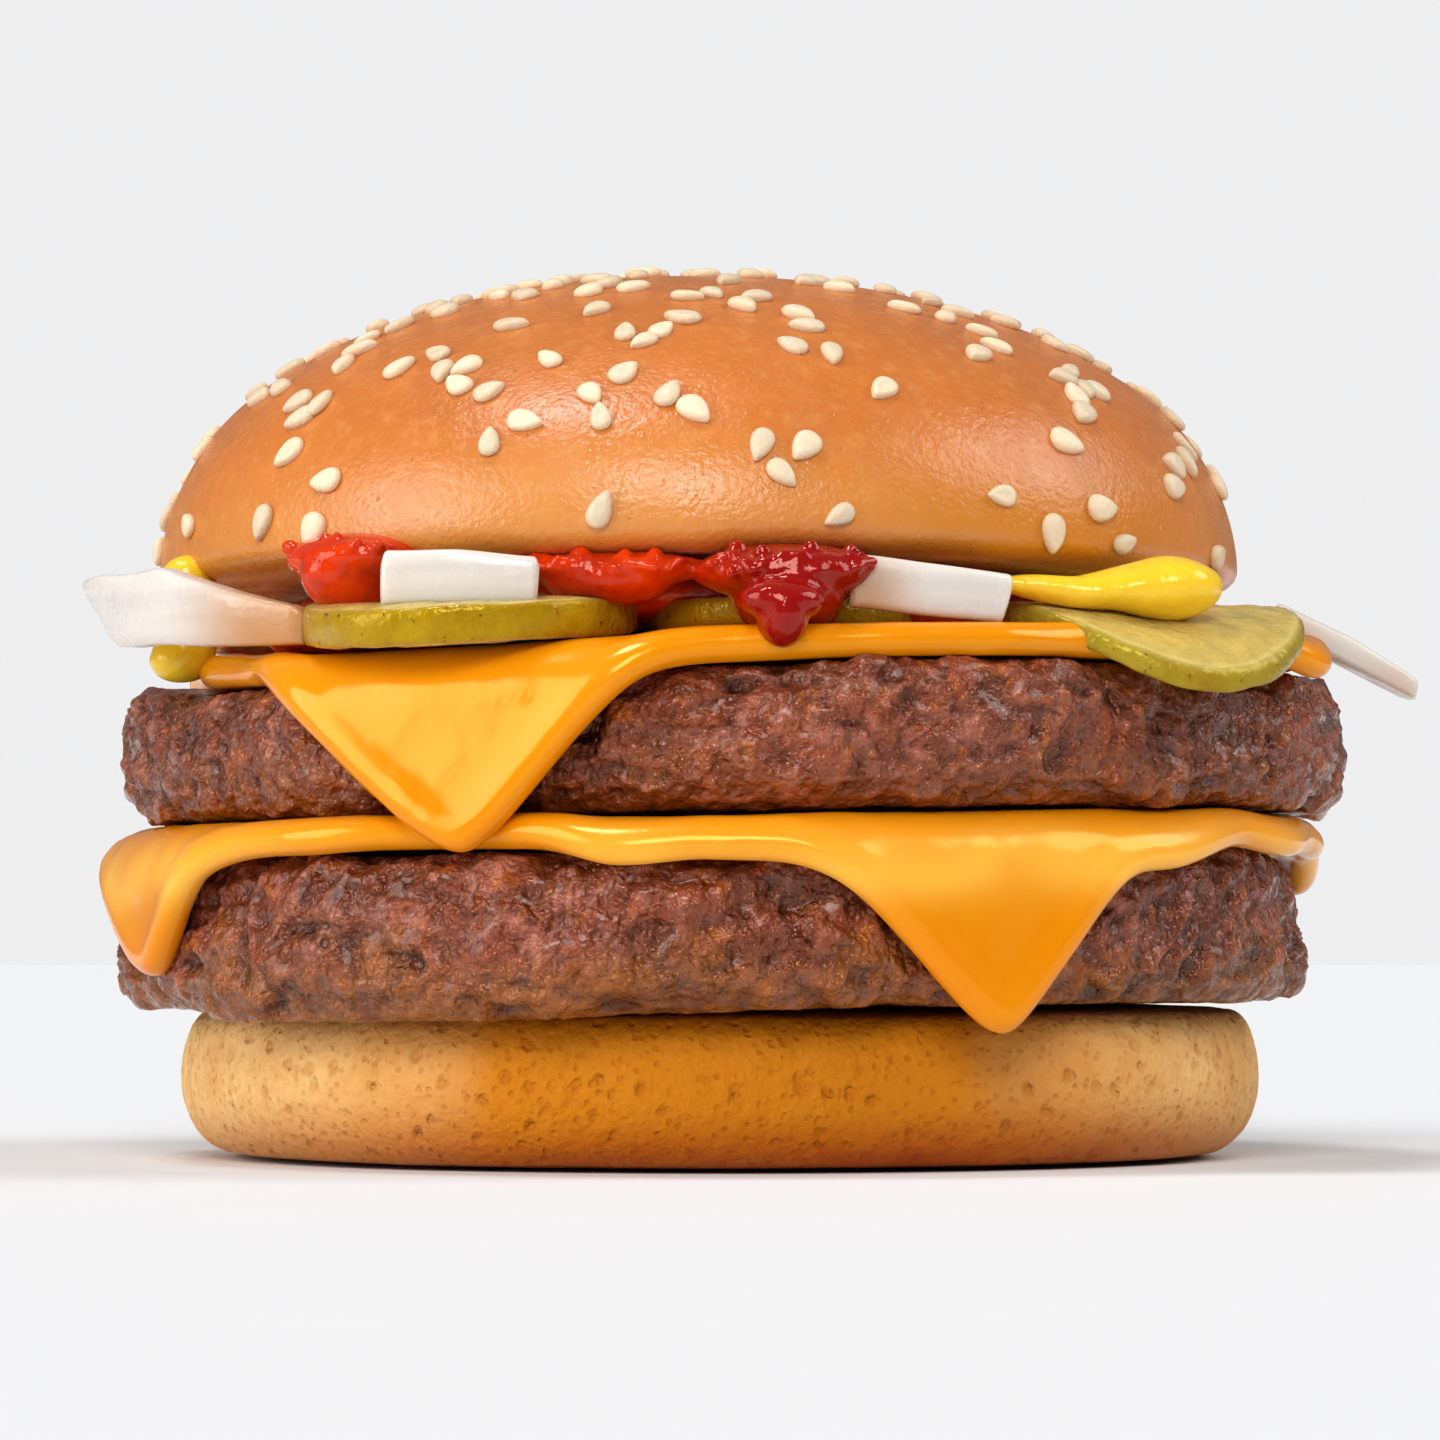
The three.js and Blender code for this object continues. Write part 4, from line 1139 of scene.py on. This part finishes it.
def make_onion(name, onion):
    """One onion sliver: a short wall cut from a ring, with soft edges."""
    form = ONIONS[name]
    length, thickness, height = form["size"]
    slant = form["slant"]
    seed = len(name)
    # Rings run from one end to the other, with a rounded cross-section of thickness by height
    ends = np.linspace(-1, 1, ONION_STEPS)
    share = np.sign(ends) * (1 - (1 - np.abs(ends)) ** 1.25)
    around = azimuths(ONION_AROUND)[0]
    across, upward = (
        np.sign(wave) * np.abs(wave) ** ONION_SQUARENESS * size / 2
        for wave, size in ((np.cos(around), thickness), (np.sin(around), height))
    )
    close = np.sqrt(np.clip(1 - smooth(0.9, 1, np.abs(share)) ** 2, 0.02, 1))[:, None]
    taper = np.where(share < 0, form["taper"][0], form["taper"][1])[:, None]
    narrow = (1 - np.abs(share)[:, None] * taper) * (0.8 + 0.2 * close)
    y = across[None] * (0.55 + 0.45 * close)
    z = (upward[None] + height / 2) * narrow - height / 2
    lean = np.where(share < 0, -slant[0], slant[1])[:, None] * smooth(0.55, 1, np.abs(share))[:, None]
    x = (share * length / 2)[:, None] + lean * (z / height)
    y = y + 0.25 * np.sign(y) * np.cos(np.pi * z / height)
    flare = form.get("flare", 0) * smooth(0.1, 0.9, -share)[:, None]
    y = y - flare * (z / height)
    z = z + 1.1 * flare * smooth(0.5, -0.5, z / height) * smooth(0.5, 1, -share)[:, None]
    sheet = np.stack([x, z, y], -1)
    angle = x / form["bend"]
    out = form["bend"] - y
    rings = np.stack([out * np.sin(angle), form["bend"] - out * np.cos(angle), z], -1)
    rings = rings + 0.22 * np.stack([0 * x, noise(sheet, 5, seed), noise(sheet, 6, seed + 1)], -1)
    rings = turned(turned(rings, 1, form["pitch"]), 2, form["turn"]) + form["at"]
    rings, sheet = rings[:, ::-1], sheet[:, ::-1]
    steps, count = rings.shape[:2]
    points = np.vstack([rings.reshape(-1, 3), rings[0].mean(0), rings[-1].mean(0)])
    # Painted shade, with some clearness, towards the chosen ends and the bottom of the sliver
    amount = np.where(share < 0, form["clear"][0], form["clear"][1])[:, None]
    clear = amount * smooth(0, 0.8, np.abs(share))[:, None] * smooth(0.9, -0.3, sheet[..., 1] / height)
    clear = np.concatenate([clear.ravel(), [clear[0].mean(), clear[-1].mean()]])
    marks = {"sheet": np.vstack([sheet.reshape(-1, 3), sheet[0].mean(0), sheet[-1].mean(0)]), "clear": clear}
    faces = skin_faces(steps, count)
    add_piece(f"{name}_sliver", points, faces, onion_material(onion), [name], marks)


KETCHUP_RADIUS = 43.5
KETCHUP_STEPS = 72
KETCHUP_AROUND = 180
# Each lump's azimuth, distance from the axis, height above the toppings, radii along, out and up, and
# how many bits stand out of it
KETCHUP_LUMPS = (
    (-39.5, 49.6, 5.2, (7.4, 7.4, 3.9), 5),
    (-12, 47, 4.4, (9.5, 5, 2.5), 34),
    (7, 48.8, 3.3, (8.4, 7.6, 4.2), 34),
    (5.5, 55.6, 1, (3.9, 3.7, 3), 0),
    (112, 45, 3.2, (9, 6.5, 3), 18),
    (222, 46, 2.9, (7, 7, 2.8), 16),
)


def make_ketchup_layer(material):
    """The ketchup between the toppings and the crown's cut face."""
    top = TOPPING_HEIGHT - GAP
    side = [(0.94 * KETCHUP_RADIUS, 0), (KETCHUP_RADIUS, top / 2), (0.95 * KETCHUP_RADIUS, top)]
    outline = even_path([(1, 0), *side, (1, top)], KETCHUP_STEPS)
    azimuth = azimuths(KETCHUP_AROUND)
    r = outline[:, :1] * (1 + 0.035 * unevenness(azimuth, 1.1))
    droop = CROWN_DROOP * np.sin(azimuth) ** 2 * r / BUN_RADIUS
    rings = round_axis(r, azimuth, TOPPINGS_Z + outline[:, 1:] - droop * (outline[:, 1:] > 0.1))
    relief = 0.8 * (crumbs(rings, 3.1, 41, 0.7) - 0.7) + 0.4 * noise(rings, 6, 42)
    rings = swollen(rings, relief * smooth(30, 40, r))
    rings[..., 0] += CROWN_CENTRE_X
    add_skin("ketchup_layer", rings, material, ["ketchup"])


def ketchup_drops():
    """The lumps that the crown squeezes out, wide at the top, and the bits that stand out of them."""
    drops = []
    for azimuth, r, z, (wide, deep, high), bits in KETCHUP_LUMPS:
        z += TOPPINGS_Z
        drops.append(((0, -r, z), (0.62 * wide, deep, high), azimuth))
        drops.append(((0, -r, z + 0.36 * high), (wide, 0.94 * deep, 0.64 * high), azimuth))
        for k in range(bits):
            i = len(drops)
            side = 1.8 * draw(i, 21) - 0.9
            lift = 1.1 - 1.3 * draw(i, 22)
            ahead = math.sqrt(max(1 - 0.8 * side**2 - 0.4 * lift**2, 0.05))
            at = (side * wide, -r - 0.9 * ahead * deep, z + 0.36 * high + 0.5 * lift * high)
            size = 0.3 + 0.3 * draw(i, 23) ** 2
            drops.append((at, (size * 1.4, size, size), azimuth))
    return drops


def make_ketchup(sauce):
    """The ketchup: the hidden layer, and what is squeezed out of it."""
    material = sauce_material("ketchup", sauce.ketchup_color, sauce.deep_color, (1.0, 0.5, 0.42), 0.06, 0.2,
                              (1.0, 0.1, 0.02))
    make_ketchup_layer(material)
    mesh = fused_mesh("ketchup_squeezed", ketchup_drops(), 4)
    shift_along_normals(mesh, lambda p: 0.16 * noise(p, 3.2, 43))
    deep = [float(smooth(-4, 3, vertex.co.x / MM)) for vertex in mesh.vertices]
    dress(mesh, "ketchup_squeezed", material, ["ketchup"], {"deep": deep})


MUSTARDS = {
    "mustard_left": (
        ((-49, -19.5, 5.7), (2.6, 2.5, 2.3)),
        ((-48.8, -17.5, 2), (2.6, 2.6, 4.4)),
        ((-49.6, -18.5, -1.6), (3, 3.1, 2.2)),
    ),
    "mustard_right": (
        ((26.8, -42, 4.2), (4, 1.5, 0.9)),
        ((33, -41.6, 3.5), (4.5, 2.3, 1.5)),
        ((40, -39, 4.1), (4.8, 4, 2.9)),
    ),
}


def make_mustard(name, material):
    """One squeezed-out string of mustard."""
    drops = []
    for (at, radii), (next_at, next_radii) in zip(MUSTARDS[name], MUSTARDS[name][1:]):
        for share in np.linspace(0, 1, 9):
            x, y, z = lerp(np.array(at), np.array(next_at), share)
            drops.append(((x, y, TOPPINGS_Z + z), lerp(np.array(radii), np.array(next_radii), share), 0))
    mesh = fused_mesh(name, drops, 14)
    shift_along_normals(mesh, lambda p: 0.22 * noise(p, 3.5, 51))
    dress(mesh, f"{name}_drops", material, [name])


# The side that each studio light comes from, and how many degrees wide it looks
LAMPS = {
    "left": ((-0.85, -0.35, 0.32), 40),
    "top": ((-0.27, -0.02, 0.95), 16),
    "right": ((0.75, 0.0, 0.6), 36),
    "front": ((-0.05, -0.83, 0.56), 26),
}


def add_lamp(name, side, strength, angle):
    """A far soft studio light that comes from `side` and looks `angle` degrees wide."""
    light = bpy.data.lights.new(name, "SUN")
    light.angle = math.radians(angle)
    light.energy = strength
    lamp = bpy.data.objects.new(name, light)
    lamp.location = Vector(side)
    lamp.rotation_euler = Vector(side).to_track_quat("Z", "Y").to_euler()
    bpy.context.scene.collection.objects.link(lamp)


FLOOR_REACH = 3


def make_floor(color):
    """A wide plain floor, level with the burger's foot."""
    corners = ((-1, -1), (1, -1), (1, 1), (-1, 1))
    mesh = bpy.data.meshes.new("floor")
    mesh.from_pydata([(FLOOR_REACH * x, FLOOR_REACH * y, 0) for x, y in corners], [], [(0, 1, 2, 3)])
    mesh.materials.append(floor_material(color))
    floor = bpy.data.objects.new("floor", mesh)
    bpy.context.scene.collection.objects.link(floor)


def make_surroundings(color, strength, backdrop):
    """Even light from all sides, in front of a paler backdrop."""
    world = bpy.data.worlds.new("studio")
    world.use_nodes = True
    nodes = Nodes(world.node_tree)
    seen = nodes.add("ShaderNodeLightPath").outputs["Is Camera Ray"]
    sky = world.node_tree.nodes["Background"]
    world.node_tree.links.new(nodes.mix(seen, rgba(color, strength), rgba(backdrop)), sky.inputs["Color"])
    bpy.context.scene.world = world


def make_camera(stage):
    """The camera, at the height and distance from which the burger is seen in the photograph."""
    data = bpy.data.cameras.new("camera")
    data.sensor_width = 36
    data.lens = stage.lens
    camera = bpy.data.objects.new("camera", data)
    camera.location = (0, -stage.camera_distance, stage.camera_height)
    aim = Vector((0, 0, stage.aim_height)) - camera.location
    camera.rotation_euler = aim.to_track_quat("-Z", "Y").to_euler()
    bpy.context.scene.collection.objects.link(camera)
    bpy.context.scene.camera = camera


# Settings, operators and panel

def length(name, description, default, low=0.0001, high=2.0):
    return FloatProperty(
        name=name, description=description, default=default, min=low, max=high, unit="LENGTH", precision=5,
    )


def color(name, description, default):
    return FloatVectorProperty(
        name=name, description=description, default=default, min=0, max=1, subtype="COLOR",
    )


def light(name, description, default):
    return FloatProperty(name=name, description=description, default=default, min=0, max=20)


class BurgerBun(bpy.types.PropertyGroup):
    crown_color: color("Crown", "Colour of the crown's crust on top", (0.62, 0.172, 0.024))
    rim_color: color("Rim", "Colour of the crown's crust near its rim", (0.7, 0.27, 0.045))
    # On the heel, the crumb colour is also painted light at the left and right sides, the heel colour
    # painted shade on the front, and the toasted colour also painted shade near the floor
    crumb_color: color("Crumb", "Colour of the palest bread", (0.85, 0.54, 0.22))
    heel_color: color("Heel", "Colour of the heel where it is baked gold", (0.56, 0.18, 0.004))
    toast_color: color("Toast", "Colour of the heel's toasted foot", (0.4, 0.065, 0.001))
    seed_color: color("Seeds", "Colour of the sesame seeds", (0.86, 0.7, 0.48))
    seed_count: IntProperty(name="Seeds", description="How many seeds lie strewn on the crown", default=150,
                            min=0, max=400)
    seed_pairs: IntProperty(name="Paired seeds", description="How many more lie close beside one of those",
                            default=70, min=0, max=400)
    seed_length: length("Seed length", "Length of a seed", 0.0034)
    seed_width: length("Seed width", "Width of a seed", 0.0021)
    seed_thickness: length("Seed thickness", "Thickness of a seed", 0.0013)


class BurgerBeef(bpy.types.PropertyGroup):
    meat_color: color("Meat", "Colour of the griddled mince", (0.26, 0.054, 0.022))
    glaze_color: color("Glaze", "Colour of the fried juices low on the patties", (0.28, 0.09, 0.009))
    # Painted shade: the dark colour laid in the cracks between the lumps
    char_color: color("Char", "Colour of the cracks and the charred places", (0.03, 0.008, 0.004))
    lump_height: length("Lump height", "Height of the lumps of mince", 0.0011)


class BurgerCheese(bpy.types.PropertyGroup):
    cheese_color: color("Cheese", "Colour of the cheese", (0.83, 0.268, 0.0002))
    # Painted sheen: the pale yellow laid in a band past the bend
    pale_color: color("Pale cheese", "Colour of the cheese where it is stretched", (1.0, 0.47, 0.05))


class BurgerToppings(bpy.types.PropertyGroup):
    skin_color: color("Pickle skin", "Colour of a pickle's skin", (0.42, 0.245, 0.001))
    green_color: color("Green pickle skin", "Colour of the greener pickles' skin", (0.36, 0.26, 0.02))
    flesh_color: color("Pickle flesh", "Colour of a pickle's cut face", (0.66, 0.48, 0.12))
    onion_color: color("Onion", "Colour of the onion", (0.7, 0.65, 0.6))
    vein_color: color("Onion veins", "Colour of the onion's veins", (0.65, 0.61, 0.57))
    ketchup_color: color("Ketchup", "Colour of the ketchup where it is thin", (0.74, 0.042, 0.001))
    deep_color: color("Deep ketchup", "Colour of the ketchup where it is thick", (0.28, 0.0025, 0.0015))
    mustard_color: color("Mustard", "Colour of the mustard", (0.92, 0.59, 0.02))


class BurgerStage(bpy.types.PropertyGroup):
    floor_color: color("Floor", "Colour of the floor", (0.8, 0.8, 0.81))
    world_color: color("Surroundings", "Colour of the light from all sides", (0.95, 0.97, 1.0))
    backdrop_color: color("Backdrop", "Colour that is seen behind the burger", (0.86, 0.86, 0.87))
    world_strength: light("Surroundings", "Strength of the light from all sides", 0.2)
    left_light: light("Left light", "Strength of the light from the left", 1.8)
    top_light: light("Top light", "Strength of the light from above", 1.0)
    right_light: light("Right light", "Strength of the light from the right", 1.25)
    front_light: light("Front light", "Strength of the light from the front", 1.6)
    lens: FloatProperty(name="Lens", description="Focal length of the camera, in millimetres", default=171.4,
                        min=10, max=400)
    camera_distance: length("Distance", "Distance of the camera from the burger's axis", 0.65, 0.1, 5)
    camera_height: length("Height", "Height of the camera above the table", 0.022, 0.0, 2)
    aim_height: length("Aim", "Height above the table that the camera is aimed at", 0.0413, 0.0, 1)


class BURGER_OT_heel(bpy.types.Operator):
    """Make the heel of the bun"""
    bl_idname = "burger.heel"
    bl_label = "Heel"

    def execute(self, context):
        make_heel(context.scene.burger_bun)
        return {"FINISHED"}


class BURGER_OT_patties(bpy.types.Operator):
    """Make the two beef patties"""
    bl_idname = "burger.patties"
    bl_label = "Patties"

    def execute(self, context):
        for name in PATTIES:
            make_patty(name, context.scene.burger_beef)
        return {"FINISHED"}


class BURGER_OT_cheeses(bpy.types.Operator):
    """Make the two slices of cheese"""
    bl_idname = "burger.cheeses"
    bl_label = "Cheese slices"

    def execute(self, context):
        for name in CHEESES:
            make_cheese(name, context.scene.burger_cheese)
        return {"FINISHED"}


class BURGER_OT_pickles(bpy.types.Operator):
    """Make the pickle slices"""
    bl_idname = "burger.pickles"
    bl_label = "Pickles"

    def execute(self, context):
        for name in PICKLES:
            make_pickle(name, context.scene.burger_toppings)
        return {"FINISHED"}


class BURGER_OT_onions(bpy.types.Operator):
    """Make the onion slivers"""
    bl_idname = "burger.onions"
    bl_label = "Onions"

    def execute(self, context):
        for name in ONIONS:
            make_onion(name, context.scene.burger_toppings)
        return {"FINISHED"}


class BURGER_OT_sauces(bpy.types.Operator):
    """Make the ketchup and the mustard"""
    bl_idname = "burger.sauces"
    bl_label = "Sauces"

    def execute(self, context):
        sauce = context.scene.burger_toppings
        make_ketchup(sauce)
        yellow = sauce_material("mustard", sauce.mustard_color, [0.86 * c for c in sauce.mustard_color],
                                (1.0, 0.9, 0.6), 0.16, 0.3, (1.0, 0.5, 0.1))
        for name in MUSTARDS:
            make_mustard(name, yellow)
        return {"FINISHED"}


class BURGER_OT_crown(bpy.types.Operator):
    """Make the crown of the bun"""
    bl_idname = "burger.crown"
    bl_label = "Crown"

    def execute(self, context):
        make_crown(context.scene.burger_bun)
        return {"FINISHED"}


class BURGER_OT_seeds(bpy.types.Operator):
    """Make the sesame seeds"""
    bl_idname = "burger.seeds"
    bl_label = "Seeds"

    def execute(self, context):
        make_seeds(context.scene.burger_bun)
        return {"FINISHED"}


class BURGER_OT_stage(bpy.types.Operator):
    """Make the floor, the lights and the camera"""
    bl_idname = "burger.stage"
    bl_label = "Stage"

    def execute(self, context):
        stage = context.scene.burger_stage
        make_floor(stage.floor_color)
        make_surroundings(stage.world_color, stage.world_strength, stage.backdrop_color)
        for name, (side, angle) in LAMPS.items():
            add_lamp(name, side, getattr(stage, f"{name}_light"), angle)
        make_camera(stage)
        context.scene.view_settings.view_transform = "Standard"
        return {"FINISHED"}


OPERATORS = (
    BURGER_OT_stage,
    BURGER_OT_heel,
    BURGER_OT_patties,
    BURGER_OT_cheeses,
    BURGER_OT_pickles,
    BURGER_OT_onions,
    BURGER_OT_sauces,
    BURGER_OT_crown,
    BURGER_OT_seeds,
)


class BURGER_PT_panel(bpy.types.Panel):
    """Lists the burger's pieces"""
    bl_label = "Double Cheeseburger"
    bl_idname = "BURGER_PT_panel"
    bl_space_type = "VIEW_3D"
    bl_region_type = "UI"
    bl_category = "Burger"

    def draw(self, context):
        for operator in OPERATORS:
            self.layout.operator(operator.bl_idname)
        for name in SETTINGS:
            box = self.layout.box()
            group = getattr(context.scene, name)
            for key in group.__annotations__:
                box.prop(group, key)


SETTINGS = {
    "burger_bun": BurgerBun,
    "burger_beef": BurgerBeef,
    "burger_cheese": BurgerCheese,
    "burger_toppings": BurgerToppings,
    "burger_stage": BurgerStage,
}
CLASSES = (*SETTINGS.values(), *OPERATORS, BURGER_PT_panel)


def register():
    for cls in CLASSES:
        bpy.utils.register_class(cls)
    for name, group in SETTINGS.items():
        setattr(bpy.types.Scene, name, PointerProperty(type=group))


def unregister():
    for name in SETTINGS:
        delattr(bpy.types.Scene, name)
    for cls in reversed(CLASSES):
        bpy.utils.unregister_class(cls)


def main():
    register()
    for operator in OPERATORS:
        family, name = operator.bl_idname.split(".")
        getattr(getattr(bpy.ops, family), name)()


if __name__ == "__main__":
    main()
